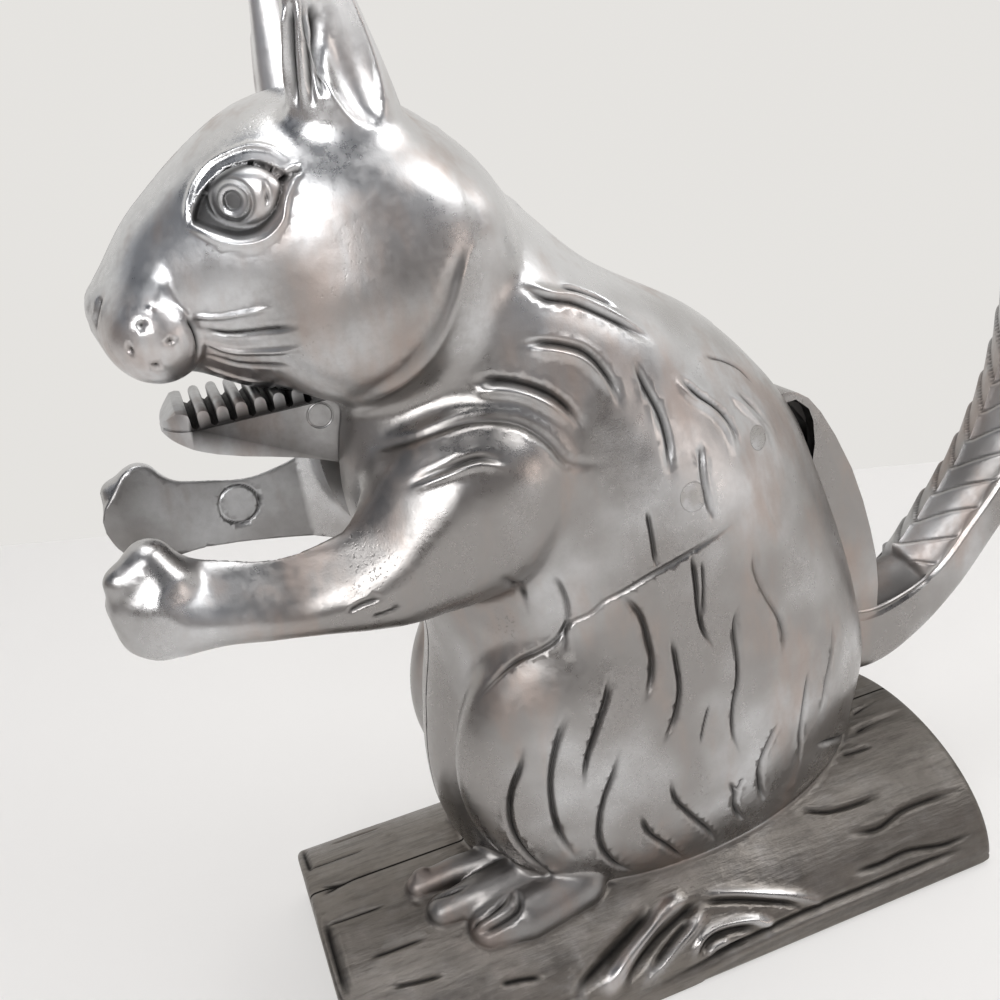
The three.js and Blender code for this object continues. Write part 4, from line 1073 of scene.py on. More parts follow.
    @staticmethod
    def finish(
        piece: bpy.types.Object, body: str, nodes: Sequence[str], slot: str, material: bpy.types.Material, angle: float,
    ) -> None:
        """Takes a finished piece into the CAD's frame, dresses it and hides the CAD nodes that it replaces.

        Args:
            piece: The piece, in millimetres of the figure's frame.
            body: The CAD body that it rides on.
            nodes: CAD nodes that it replaces.
            slot: The record's material slot; not used.
            material: Its finish.
            angle: Edges sharper than this stay sharp, in degrees.
        """
        place = Bench.points(piece)
        place[:, 0] += SHIFT_X
        Bench.place(piece, place * MM)
        piece.data.materials.clear()
        piece.data.materials.append(material)
        Bench.hold(piece)
        bpy.ops.object.shade_smooth_by_angle(angle=math.radians(angle))
        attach(piece, body)
        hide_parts(*nodes)
        LOG.info("%s: %d triangles", piece.name, sum(len(f.vertices) - 2 for f in piece.data.polygons))

    @staticmethod
    def lend_normals(piece: bpy.types.Object, match: Array, normals: Array) -> None:
        """Gives a casting the smooth normals of the skin that it was cut out of.

        Args:
            piece: The finished piece.
            match: For each vertex the skin's point, or -1 on a cut face.
            normals: The skin's normals.
        """
        mesh = piece.data
        corner = read_all(mesh.loops, "vertex_index", kind=np.int32)
        size = read_all(mesh.polygons, "loop_total", kind=np.int32)
        facing = np.repeat(read_all(mesh.polygons, "normal", 3), size, axis=0)
        lent = normals[np.maximum(match[corner], 0)].copy()
        against = (lent * facing).sum(1) < -0.2
        lent[(match[corner] < 0) | against] = 0
        mesh.normals_split_custom_set(lent.tolist())


class Wire:
    """A shader socket that takes part in sums and products."""

    def __init__(self, graph: "Graph", socket: bpy.types.NodeSocket) -> None:
        """Keeps a socket and the graph that it belongs to."""
        self.graph = graph
        self.socket = socket

    def _math(self, operation: str, first: "Wire | float", second: "Wire | float") -> "Wire":
        """Adds one Math node on two values."""
        return self.graph.add("ShaderNodeMath", {"operation": operation}, {0: first, 1: second})

    def __add__(self, other: "Wire | float") -> "Wire":
        """Sum."""
        return self._math("ADD", self, other)

    __radd__ = __add__

    def __sub__(self, other: "Wire | float") -> "Wire":
        """Difference."""
        return self._math("SUBTRACT", self, other)

    def __mul__(self, other: "Wire | float") -> "Wire":
        """Product."""
        return self._math("MULTIPLY", self, other)

    __rmul__ = __mul__

    def most(self, other: "Wire | float") -> "Wire":
        """The greater of two values."""
        return self._math("MAXIMUM", self, other)

    def ramp(self, low: float, high: float, start: float = 0, end: float = 1) -> "Wire":
        """Smooth change from start at low to end at high."""
        return self.graph.add(
            "ShaderNodeMapRange", {"interpolation_type": "SMOOTHSTEP", "clamp": True},
            {"Value": self, "From Min": low, "From Max": high, "To Min": start, "To Max": end},
        )

    def part(self, axis: str) -> "Wire":
        """One coordinate of a vector."""
        return self.graph.add("ShaderNodeSeparateXYZ", inputs={0: self}, out=axis)


class Graph:
    """Node tree of one material, or of the world."""

    def __init__(self, name: str, owner: bpy.types.ID | None = None) -> None:
        """Clears the tree of a new material, or of the owner that is given."""
        self.owner = owner or bpy.data.materials.new(name)
        self.owner.use_nodes = True
        self.tree = self.owner.node_tree
        self.tree.nodes.clear()

    def feed(self, socket: bpy.types.NodeSocket, value: "Wire | float | Sequence[float]") -> None:
        """Links a wire to a socket, or sets the socket's own value."""
        if isinstance(value, Wire):
            self.tree.links.new(value.socket, socket)
        else:
            socket.default_value = value

    def add(self, kind: str, settings: dict | None = None, inputs: dict | None = None, out: int | str = 0) -> Wire:
        """Adds one node.

        Args:
            kind: The node's type.
            settings: Its own settings, set first.
            inputs: Values or wires for its sockets, by name or number.
            out: The output that is wanted.

        Returns:
            The wanted output.
        """
        node = self.tree.nodes.new(kind)
        for key, value in (settings or {}).items():
            setattr(node, key, value)
        for key, value in (inputs or {}).items():
            self.feed(node.inputs[key], value)
        return Wire(self, node.outputs[out] if node.outputs else node.inputs[0])

    def coordinates(self, stretch: Sequence[float] = (1, 1, 1), turn: Sequence[float] = (0, 0, 0)) -> Wire:
        """Object coordinates, stretched and turned."""
        place = self.add("ShaderNodeTexCoord", out="Object")
        return self.add("ShaderNodeMapping", inputs={"Vector": place, "Scale": stretch, "Rotation": turn})

    def noise(self, vector: Wire, scale: float, detail: float, rough: float) -> Wire:
        """Noise from 0 to 1."""
        values = {"Vector": vector, "Scale": scale, "Detail": detail, "Roughness": rough}
        return self.add("ShaderNodeTexNoise", inputs=values, out="Fac")

    def attribute(self, name: str) -> Wire:
        """A number stored on the mesh."""
        return self.add("ShaderNodeAttribute", {"attribute_name": name}, out="Fac")

    def mix(self, share: Wire | float, first: "Wire | Sequence[float]", second: "Wire | Sequence[float]") -> Wire:
        """Colour between two others."""
        colour = {0: share, 6: first, 7: second}
        return self.add("ShaderNodeMix", {"data_type": "RGBA"}, colour, 2)

    def metal(self, colour: Wire, rough: Wire, height: Wire, strength: float, distance: float) -> bpy.types.Material:
        """Ends a material as bare metal.

        Args:
            colour: The metal's colour.
            rough: Its roughness.
            height: Height of its fine relief.
            strength: Strength of the relief.
            distance: The relief's depth in metres.

        Returns:
            The material.
        """
        bump = self.add("ShaderNodeBump", inputs={"Height": height, "Strength": strength, "Distance": distance})
        values = {"Base Color": colour, "Metallic": 1.0, "Roughness": rough, "Normal": bump}
        shader = self.add("ShaderNodeBsdfPrincipled", inputs=values)
        self.add("ShaderNodeOutputMaterial", inputs={"Surface": shader})
        return self.owner


@dataclass(frozen=True)
class CastAluminium:
    """Tumbled and hand-polished aluminium casting with dark patina in its cuts.

    The noises are given as scale, detail and roughness.
    """

    name: str = "cast_aluminium_finish"
    bright: tuple = (0.70, 0.705, 0.715, 1)
    dull: tuple = (0.33, 0.315, 0.305, 1)
    # Painted reflection of a warm room, laid into the colour in streaks.
    warm_reflection: tuple = (0.44, 0.35, 0.305, 1)
    bark: tuple = (0.225, 0.205, 0.185, 1)
    dark: tuple = (0.025, 0.023, 0.022, 1)
    # Painted highlight: near-white colour laid on the nape and upper back.
    painted_highlight: tuple = (0.86, 0.86, 0.865, 1)
    polish: float = 0.22
    haze: float = 0.38
    cloud_noise: tuple = (26, 3, 0.55)
    streak_noise: tuple = (75, 4, 0.6)
    grain_noise: tuple = (2600, 2, 0.6)
    hammer_noise: tuple = (260, 3, 0.5)
    wave_noise: tuple = (95, 2, 0.5)
    patch_noise: tuple = (55, 2, 0.5)
    pit_noise: tuple = (1500, 2, 0.6)
    grit_noise: tuple = (700, 4, 0.65)
    wood_noise: tuple = (520, 4, 0.65)
    bump_strength: float = 0.20
    bump_distance: float = 0.0012

    def colour(self, g: Graph, cloud: Wire, streak: Wire, grit: Wire, hammer: Wire, wood: Wire, pit: Wire) -> Wire:
        """Colour: clouded and lighter towards the top, a painted highlight on the nape and back, painted warm
        reflections in streaks, dark on bark, in cuts and in painted shade.
        """
        place = g.coordinates()
        bark = g.attribute("bark")
        height = place.part("Z")
        # Painted light: the bright colour gains towards the top and the dull one towards the bottom.
        base = g.mix((cloud + 0.05 - height.ramp(0.07, 0.15) * 0.20).ramp(0.28, 0.58), self.bright, self.dull)
        base = g.mix(grit * cloud.ramp(0.4, 0.7, 0.12, 0.4), base, self.dull)
        # Painted highlight on the nape and upper back, where the room's light reflects.
        highlight_reach = height + place.part("X") * 0.55
        base = g.mix(highlight_reach.ramp(0.110, 0.135) * cloud.ramp(0.3, 0.6, 0.85, 0.6), base, self.painted_highlight)
        # Painted reflection: warm streaks stand in for a warm room seen in the metal.
        base = g.mix(streak.ramp(0.50, 0.70) * 0.6, base, self.warm_reflection)
        base = g.mix(bark * hammer.ramp(0.2, 0.6, 0.7, 1.0), base, self.bark)
        base = g.mix(bark * wood.ramp(0.45, 0.7, 0, 0.32), base, self.dark)
        # The patina attribute also carries painted shade in the hollow, the slots, the arm's inner side and the saddle.
        return g.mix(g.attribute("patina").most(pit * 0.3), base, self.dark)

    def build(self) -> bpy.types.Material:
        """Makes the material.

        Returns:
            The material, ready to be put on a piece.
        """
        g = Graph(self.name)
        place = g.coordinates()
        cloud, grain, hammer, wave, patch, pit, grit = (
            g.noise(place, *values)
            for values in (
                self.cloud_noise, self.grain_noise, self.hammer_noise, self.wave_noise,
                self.patch_noise, self.pit_noise, self.grit_noise,
            )
        )
        streak = g.noise(g.coordinates((1, 1, 0.35), (0.2, 0.5, 0)), *self.streak_noise)
        wood = g.noise(g.coordinates((0.16, 1, 1)), *self.wood_noise)
        pit = pit.ramp(0.58, 0.70) * patch.ramp(0.60, 0.72)
        grit = grit.ramp(0.35, 0.7)
        patina, bark = g.attribute("patina"), g.attribute("bark")
        base = self.colour(g, cloud, streak, grit, hammer, wood, pit)
        rough = streak.ramp(0.3, 0.75, self.polish, self.haze) + grit * 0.07 + patina * 0.35 + bark * 0.12
        height = grain * 0.05 + hammer * (0.18 + bark * 0.6) + wave + streak * 0.2 - pit * 0.2
        height = height + bark * wood * 1.2
        return g.metal(base, rough, height, self.bump_strength, self.bump_distance)


@dataclass(frozen=True)
class WireAluminium:
    """Plain aluminium of rivets and pin, ground flush. The noises are given as in CastAluminium."""

    name: str = "rivet_aluminium_finish"
    bright: tuple = (0.60, 0.60, 0.61, 1)
    dull: tuple = (0.47, 0.46, 0.45, 1)
    stroke_noise: tuple = (900, 3, 0.6)
    cloud_noise: tuple = (300, 2, 0.5)
    polish: float = 0.25
    haze: float = 0.42
    bump_strength: float = 0.15
    bump_distance: float = 0.0003

    def build(self) -> bpy.types.Material:
        """Makes the material."""
        g = Graph(self.name)
        stroke = g.noise(g.coordinates((1, 1, 6)), *self.stroke_noise)
        cloud = g.noise(g.coordinates(), *self.cloud_noise)
        base = g.mix(cloud.ramp(0.3, 0.6), self.bright, self.dull)
        rough = stroke.ramp(0.3, 0.7, self.polish, self.haze)
        return g.metal(base, rough, stroke * 0.3 + cloud, self.bump_strength, self.bump_distance)


def outline_of_teeth(top: float, depth: float = 2.4) -> list[tuple[float, float]]:
    """Corners of a toothed line from the first gullet back."""
    points = []
    for i in range(TOOTH_COUNT):
        points.append((JAW_TIP + TOOTH_START + TOOTH_PITCH * i, top - depth))
        points.append((JAW_TIP + TOOTH_START + TOOTH_PITCH * (i + 0.5), top))
    return points


@dataclass
class Castings:
    """The two hollow half castings."""

    figure: Figure = field(default_factory=Figure)
    wall: float = 3.2
    seam: float = 0.15
    step: float = 1.2
    quick_factor: float = 1.6
    skin_box: tuple = ((-92, -37, -2), (73, 2.4, 206))
    core_box: tuple = ((-82, -34, 0), (70, 34, 180))
    core_step: float = 2.6
    overrun: float = 1.2
    refine_reaches: tuple = (1.7, 0.9)
    bend: float = 15.0
    shortest_bend: float = 0.5
    lid_box: tuple = ((-66, -FAR, 152), (-38, -8, 173))
    arm_box: tuple = ((-FAR, -FAR, 90), (-50, FAR, 118))
    mouth_gap: float = 0.9
    palate: float = 6.0
    slot_half_width: float = 11.0
    slot_front: float = 4.05
    slot_back: float = -20.6
    slot_low: float = 92.5
    back_half_width: float = 7.2
    back_outline: tuple = ((34, 29.2), (94, 29.2), (94, 124.2), (25.8, 124.2), (34, 114))
    rivet_bosses: tuple = ((27, 106, 4.6), (25.3, 42.9, 4.6))
    flush_pins: tuple = (("pivot_pin", *PIVOT, 2.6), ("back_rivet", 27, 106, 2.1))
    pin_gap: float = 0.05
    pin_sides: int = 64
    record: SkinRecord | None = None
    pin_halves: dict = field(default_factory=dict)

    def sculpt(self, side: Side) -> bpy.types.Object:
        """Carves the outer skin of one side, folded onto the left.

        Args:
            side: The side.

        Returns:
            A closed solid from the flank to a little over the seam.
        """
        def skin(p: Array) -> Array:
            """Distance to this side's skin with its eye."""
            return self.figure.dressed(p, side)

        def form(p: Array) -> Array:
            """The same, closed by a flat lid."""
            return np.maximum(skin(p), p[:, 1] - self.overrun)

        step = self.step * 1
        points, faces = Net(*self.skin_box, step).faces(form)
        flat = points[:, 1] > self.overrun / 2
        points[~flat] = settle(skin, points[~flat])
        points[flat, 1] = self.overrun
        piece = Bench.from_net("skin", points, faces)
        for reach in self.refine_reaches:
            self.refine(piece, reach, skin)
        self.carve(piece, skin)
        return piece

    def refine(self, piece: bpy.types.Object, reach: float, skin: Field) -> None:
        """Splits the faces that lie near a carved line or bend sharply, and settles the new points.

        Args:
            piece: The skin.
            reach: How near to a line a face is split.
            skin: The field that the new points settle on.
        """
        place = Bench.points(piece)
        close = np.zeros(len(place), bool)
        for mark in MARKS:
            near, gap, _ = mark.reach(place)
            close[near[gap < max(reach, 1.3 * mark.half_width)]] = True
        lids = np.nonzero(within(place, *self.lid_box))[0]
        close[lids[self.figure.eye.inside_lids(place[lids]) < reach + 0.3]] = True
        bm = bmesh.new()
        bm.from_mesh(piece.data)
        for edge in bm.edges:
            bends = len(edge.link_faces) == 2 and edge.calc_face_angle(0) > math.radians(self.bend)
            if bends and edge.calc_length() > self.shortest_bend:
                for vert in edge.verts:
                    if vert.co.y < 0.8 and vert.co.z > 0.3:
                        close[vert.index] = True
        edges = [e for e in bm.edges if close[e.verts[0].index] and close[e.verts[1].index]]
        old = len(bm.verts)
        bmesh.ops.subdivide_edges(bm, edges=edges, cuts=1, use_grid_fill=True)
        bmesh.ops.triangulate(bm, faces=[f for f in bm.faces if len(f.verts) > 4])
        bm.to_mesh(piece.data)
        bm.free()
        place = Bench.points(piece)
        new = (np.arange(len(place)) >= old) & self.is_skin(place)
        place[new] = settle(skin, place[new], 2)
        Bench.place(piece, place)

    def is_skin(self, place: Array) -> Array:
        """True for the points that aren't on the lid over the seam."""
        return place[:, 1] < self.overrun - 0.01

    def carve(self, piece: bpy.types.Object, skin: Field) -> None:
        """Cuts the marks into a skin, and records its places, normals and patina."""
        place = Bench.points(piece)
        outer = self.is_skin(place)
        body = place[outer]
        slope = steepness(skin, body)
        slope /= np.maximum(np.linalg.norm(slope, axis=1, keepdims=True), 1e-9)
        height, dark = relief(body, MARKS)
        rise = steepness(lambda p: relief(p, MARKS)[0], body)
        along = rise - (rise * slope).sum(1, keepdims=True) * slope
        normals = slope - along
        normals /= np.linalg.norm(normals, axis=1, keepdims=True)
        place[outer] = body + slope * height[:, None]
        place[:, 1] = np.maximum(place[:, 1], -self.figure.log.half_width - 0.05)
        place[:, 2] = np.maximum(place[:, 2], 0)
        Bench.place(piece, place)
        self.record = SkinRecord(place[outer], normals, np.maximum(dark, self.figure.eye.shade(body)))

    def hollow(self) -> bpy.types.Object:
        """Space inside the pair of castings, with the palate and the bosses left in."""
        def core(p: Array) -> Array:
            """Distance to the hollow."""
            return self.figure.core(p, self.wall)

        points, faces = Net(*self.core_box, self.core_step).faces(core)
        piece = Bench.from_net("core", settle(core, points), faces)
        front, back, far = -85, outline_of_teeth(JAW_TOP)[-1][0], 40
        low, high = 120, JAW_TOP + self.palate
        solids = [Bench.plate("palate", [(front, low), (back, low), (back, high), (front, high)], -far, far)]
        for y0, y1 in ((-far, -self.back_half_width), (self.back_half_width, far)):
            solids.append(Bench.bar("boss", *PIVOT, HUB_RADIUS, y0, y1))
        solids += [Bench.bar("boss", *boss, -far, far) for boss in self.rivet_bosses]
        for solid in solids:
            Bench.combine(piece, solid, "DIFFERENCE")
        return piece

    def front_slot(self) -> bpy.types.Object:
        """Space for the jaw: the toothed mouth and the chest slot."""
        teeth = outline_of_teeth(JAW_TOP + self.mouth_gap)
        front, back, low, high = JAW_TIP + self.slot_front, self.slot_back, self.slot_low, JAW_TOP + self.palate
        outline = [
            (front, low), (back, low), (back, high), (teeth[-1][0], high), *teeth[::-1],
            (front, JAW_TOP + self.mouth_gap),
        ]
        return Bench.plate("front_slot", outline, -self.slot_half_width, self.slot_half_width)

    def half(self, side: Side, core: bpy.types.Object) -> bpy.types.Object:
        """Cuts one half casting out of its carved skin.

        Args:
            side: The side.
            core: The hollow, which is kept.

        Returns:
            The half casting, on its own side of the seam.
        """
        piece = self.sculpt(side)
        for name, x, z, radius in self.flush_pins:
            pin = Bench.bar(f"{name}_{side.name}", x, z, radius, -60, 0.3, self.pin_sides)
            Bench.combine(pin, piece, "INTERSECT", keep=True)
            if side is Side.RIGHT:
                self.turn_over(pin)
            self.pin_halves.setdefault(name, []).append(pin)
        beyond = [(-120, -20), (120, -20), (120, 230), (-120, 230)]
        Bench.combine(piece, Bench.plate("seam_block", beyond, -self.seam, 30), "DIFFERENCE")
        Bench.combine(piece, core, "DIFFERENCE", keep=True)
        Bench.combine(piece, self.front_slot(), "DIFFERENCE")
        back_slot = Bench.plate("back_slot", self.back_outline, -self.back_half_width, self.back_half_width)
        Bench.combine(piece, back_slot, "DIFFERENCE")
        for _, x, z, radius in self.flush_pins:
            bore = Bench.bar("bore", x, z, radius + self.pin_gap, -60, 60, self.pin_sides)
            Bench.combine(piece, bore, "DIFFERENCE")
        if side is Side.RIGHT:
            self.turn_over(piece)
            self.record = self.record.mirrored()
        return piece

    @staticmethod
    def turn_over(piece: bpy.types.Object) -> None:
        """Mirrors a piece in the seam."""
        Bench.place(piece, Bench.points(piece) * (1, -1, 1))
        with Bench.editing(piece):
            bpy.ops.mesh.flip_normals()

    def store(self, piece: bpy.types.Object, side: Side) -> Array:
        """Stores the patina, the painted shade and where the bark is, for the finish.

        Args:
            piece: The half casting, in its place.
            side: Its side.

        Returns:
            For each vertex the skin's point that it came from, or -1.
        """
        figure, place = self.figure, Bench.points(piece)
        index, gap = self.record.nearest(place)
        place[:, 1] *= -side.value
        log = smooth_step(0.9, 0.1, figure.log.field(place))
        shaded_inner_arm = -place[:, 1] < figure.arm.inner_side(place[:, 0]) + 0.5
        dark = np.maximum.reduce([
            np.where(gap < 0.6, self.record.patina[index], 0),
            # Painted shade: surfaces well inside the skin, in the hollow and the slots, are darkened.
            0.8 * smooth_step(-1.2, -2.6, figure.skin(place, side)) * (place[:, 2] > 1),
            0.85 * (np.abs(place[:, 1]) < 0.3),
            0.3 * smooth_step(0.8, 0.2, figure.foot.field(place, side)) * (place[:, 2] < 34),
            # Painted shade on the arm's inner side, in the gap between arm and jaw.
            0.3 * (shaded_inner_arm & within(place, *self.arm_box)),
            # Darker towards the log's rear end.
            0.3 * log * smooth_step(5, 55, place[:, 0]),
        ])
        Bench.write(piece, "patina", dark)
        Bench.write(piece, "bark", log)
        return np.where(gap < 0.02, index, -1)

    def build(self, finish: bpy.types.Material, wire: bpy.types.Material) -> None:
        """Makes both half castings and the two flush pins, and dresses them."""
        core = self.hollow()
        for side, name in ((Side.LEFT, "left_casting"), (Side.RIGHT, "right_casting")):
            piece = self.half(side, core)
            piece.name = f"{name}_skin"
            match = self.store(piece, side)
            Bench.finish(piece, "figure", [name], "cast_aluminium", finish, 50)
            Bench.lend_normals(piece, match, self.record.normals)
        bpy.data.objects.remove(core, do_unlink=True)
        for name, (near, far) in self.pin_halves.items():
            Bench.combine(near, far, "UNION")
            near.name = f"{name}_wire"
            Bench.finish(near, "figure", [name], "rivet_aluminium", wire, 50)


@dataclass
class Lever:
    """The one moving casting: toothed jaw, bar, saddle over the back slot and bushy tail."""

    width: float = 13.0
    jaw_width: float = 20.6
    comb_foot: float = 128.4
    comb_inset: float = 0.35
    bow_length: float = 6.0
    ridge_half: float = 0.95
    ejector_mark: tuple = (-47.7, 126.1, 2.1, 0.2)
    wall: float = 2.6
    saddle_floor: float = 66.0
    rings: int = 300
    sides: int = 132
    leaf_start: float = 27.0
    leaf_ease: float = 1.2
    tip_fade: float = 14.0
    barb_pitch: float = 7.4
    barb_sweep: float = 1.15
    barb_depth: float = 0.75
    barb_rise: float = 0.8
    barb_height: float = 1.15
    spine_height: float = 0.35
    spine_width: float = 0.5
    neck_drop: float = 1.8
    roof_edge: tuple = (0.34, 0.46)
    jaw_bottom: tuple = (
        (-73.0, 127.9), (-71.6, 126.9), (-68.9, 125.4), (-65.4, 123.8), (-61.4, 122.4), (-56.8, 121.1),
        (-52.2, 119.7), (-47.7, 118.0), (-43.2, 116.0), (-38.2, 113.5), (-33.2, 111.1), (-23.2, 106.7),
    )
    jaw_back: tuple = ((-23.2, 118.7), (-33.2, 124.6), (-40.2, 128.1), (-43.0, 129.4))
    saddle_rear: tuple = (
        (40.4, 106.0), (42.2, 106.9), (44.1, 106.9), (46.3, 106.2), (48.7, 104.5), (51.4, 100.9), (54.6, 95.0),
        (58.2, 86.8), (60.6, 79.0), (62.2, 72.0), (63.4, 65.0), (63.7, 58.0), (63.0, 50.2),
    )
    saddle_front: tuple = (
        (57.2, 38.2), (49.2, 37.2), (44.4, 43.1), (43.6, 57.3), (42.8, 71.5), (41.2, 85.7), (39.7, 99.9), (39.7, 104.2),
    )
    cheek_corner: tuple = (
        (38, 104.6), (38, 86), (48.4, 89), (49.6, 94.5), (49.5, 99.5), (48.6, 102.3), (45.8, 104.9),
    )
    tail_path: tuple = (
        (51.6, 50.9, 11.5, 6.5), (61.9, 48.6, 12.2, 6.5), (70.9, 50.9, 10.4, 6.9), (78.6, 55.4, 8.6, 7.7),
        (88.5, 65.1, 7.8, 8.2), (97.9, 75.4, 7.6, 8.5), (106.0, 87.3, 8.0, 9.1), (111.9, 99.9, 8.8, 9.8),
        (115.9, 113.6, 9.4, 10.4), (119.1, 127.2, 9.4, 10.4), (123.1, 137.6, 8.6, 9.4), (129.4, 143.9, 6.9, 7.5),
        (137.1, 146.5, 4.4, 4.6), (141.2, 147.0, 0.8, 0.8),
    )
    section: tuple = (
        (0, 1.0), (-0.3, 0.93), (-0.6, 0.78), (-0.84, 0.58), (-0.97, 0.42), (-1.0, 0.33), (-0.93, 0.255),
        (-0.9, 0.21), (-0.96, 0.15), (-1.0, 0.06), (-1.0, -0.3), (-0.985, -0.62), (-0.9, -0.82), (-0.7, -0.93),
        (-0.35, -0.985), (0, -1.0),
    )

    def bowed(self, inset: float) -> bpy.types.Object:
        """Upright block with the jaw's bowed front, set in from its outline."""
        half, tip = self.jaw_width / 2 - inset, JAW_TIP + inset
        turns = np.radians(np.linspace(-90, 90, 37))
        front = [(tip + self.bow_length * (1 - math.cos(t)), half * math.sin(t)) for t in turns]
        return Bench.plan("bow", [*front, (-10, half), (-10, -half)], 90, 140)

    def ridges(self) -> list[tuple[float, float]]:
        """Outline of the comb's rounded ridges, from the front block to the last one."""
        first, top = JAW_TIP + TOOTH_START, JAW_TOP - self.ridge_half
        points = [(-73.0, self.comb_foot + 0.35), (-72.5, 129.6), (-70.2, JAW_TOP), (-69.2, JAW_TOP - 0.05)]
        points += [(first - 0.78, top + 0.55), (first - 0.68, top)]
        for gullet in (first + TOOTH_PITCH * i for i in range(TOOTH_COUNT)):
            points += [(gullet - 0.6, 128.9), (gullet, 128.5), (gullet + 0.6, 128.9)]
            for turn in np.radians((180, 150, 120, 90, 60, 30, 0)):
                ridge = gullet + TOOTH_PITCH / 2 + self.ridge_half * math.cos(turn)
                points.append((ridge, top + self.ridge_half * math.sin(turn)))
        return points

    def jaw(self) -> bpy.types.Object:
        """Makes the jaw: a bowed scoop with a comb of rounded ridges on top."""
        half = self.jaw_width / 2
        body = [*self.jaw_bottom, *self.jaw_back, (-44.4, self.comb_foot), (-72.6, self.comb_foot)]
        scoop = Bench.plate("jaw_scoop", body, -half, half)
        Bench.combine(scoop, self.bowed(0), "INTERSECT")
        Bench.round_edges(scoop, 1.3, 4, lambda v: v.z < 127 and v.x < -30)
        comb = [*self.ridges(), (-44.2, 130.0), (-43.0, 127.0), (-72.0, 127.0)]
        comb = Bench.plate("jaw_comb", comb, -half + self.comb_inset, half - self.comb_inset)
        Bench.combine(comb, self.bowed(self.comb_inset), "INTERSECT")
        Bench.round_edges(comb, 0.3, 2, lambda v: v.z > 127.5)
        Bench.combine(scoop, comb, "UNION")
        x, z, radius, depth = self.ejector_mark
        Bench.clear()
        bpy.ops.mesh.primitive_torus_add(
            major_radius=radius, minor_radius=depth, major_segments=40, minor_segments=8,
            location=(x, -half, z), rotation=(math.pi / 2, 0, 0),
        )
        ring = bpy.context.object
        bpy.ops.object.transform_apply(location=True, rotation=True, scale=True)
        Bench.combine(scoop, ring, "DIFFERENCE")
        return scoop

    def strut(self, start: Sequence[float], end: Sequence[float]) -> bpy.types.Object:
        """Flat bar between two places (x, z, depth)."""
        a, b = np.array(start[:2]), np.array(end[:2])
        run = b - a
        across = np.array([-run[1], run[0]]) / np.linalg.norm(run) / 2
        corners = [a + across * start[2], a - across * start[2], b - across * end[2], b + across * end[2]]
        return Bench.plate("strut", corners, -self.width / 2, self.width / 2)

    def saddle(self) -> bpy.types.Object:
        """Makes the saddle: two cheeks and a back web, open towards the body."""
        half = self.width / 2
        whole = Bench.plate("saddle", [*self.saddle_rear, *self.saddle_front], -half, half)
        rear = [p for p in self.saddle_rear if p[1] > self.saddle_floor and p[0] > 42]
        inner = [(x - self.wall, z - self.wall / 2) for x, z in rear]
        channel = [*inner, (inner[-1][0], self.saddle_floor), (30, self.saddle_floor), (30, inner[0][1])]
        channel = Bench.plate("channel", channel, -half + self.wall, half - self.wall)
        Bench.combine(whole, channel, "DIFFERENCE")
        for y0, y1 in ((-half - 1, -half + self.wall + 0.1), (half - self.wall - 0.1, half + 1)):
            Bench.combine(whole, Bench.plate("cheek_corner", self.cheek_corner, y0, y1), "DIFFERENCE")
        Bench.round_edges(whole, 0.55, 3, lambda v: v.z > self.saddle_floor + 2)
        return whole

    def tail_rings(self) -> tuple[Array, Array]:
        """Rings round the tail's path, with barbs on their upper part.

        Returns:
            The points, ring by ring, and the patina at each; a ring's last point is its first again.
        """
        path = np.array(self.tail_path, float)
        runs = np.linalg.norm(np.diff(path[:, :2], axis=0), axis=1)
        rows = smooth_rows(np.column_stack([np.concatenate([[0], np.cumsum(runs)]), path]), self.rings)
        tangent = np.gradient(rows[:, 1:3], rows[:, 0], axis=0)
        tangent /= np.linalg.norm(tangent, axis=1, keepdims=True)
        keys = np.array(self.section, float)
        shares = np.arange(len(keys)) / (len(keys) - 1)
        half = smooth_rows(np.column_stack([shares, keys]), self.sides // 2 + 1)[:, 1:]
        loop = np.concatenate([half, half[-2:0:-1] * (-1, 1)])
        u, v = loop[:, 0], loop[:, 1]
        roof = smooth_step(*self.roof_edge, v)
        points, dark = np.zeros((self.rings, self.sides + 1, 3)), np.zeros((self.rings, self.sides + 1))
        for i, (along, x, z, deep, wide) in enumerate(rows):
            leaf = float(smooth_step(self.leaf_start - self.leaf_ease, self.leaf_start + self.leaf_ease, along))
            fade = float(smooth_step(0, self.tip_fade, rows[-1, 0] - along))
            phase = (along - self.barb_sweep * np.abs(u) * wide) / self.barb_pitch
            turn = phase - np.floor(phase)
            wave = turn**self.barb_rise * (1 - smooth_step(0.84, 1.0, turn)) * self.barb_height
            gap = smooth_step(0.9, 1.0, turn) + smooth_step(0.14, 0.0, turn)
            shade = 0.75 * np.minimum(gap, 1) * roof * leaf * fade
            dark[i, :-1] = np.maximum(shade, (0.6 - 0.38 * leaf) * roof)
            lift = roof * leaf * fade * self.barb_depth * (wave - 0.6)
            spine = self.spine_height * bell(u * wide, 0, self.spine_width) * leaf * fade
            up = v * deep + lift + spine - roof * (1 - leaf) * self.neck_drop
            groove = np.where(np.abs(v - 0.22) < 0.1, 0.06 * (1 - leaf), 0)
            side = u * wide * (1 + 0.02 * roof * leaf * wave) + np.sign(u) * groove * wide
            points[i, :-1] = np.stack([x - tangent[i, 1] * up, side, z + tangent[i, 0] * up], 1)
        points[:, -1], dark[:, -1] = points[:, 0], dark[:, 0]
        return points, dark

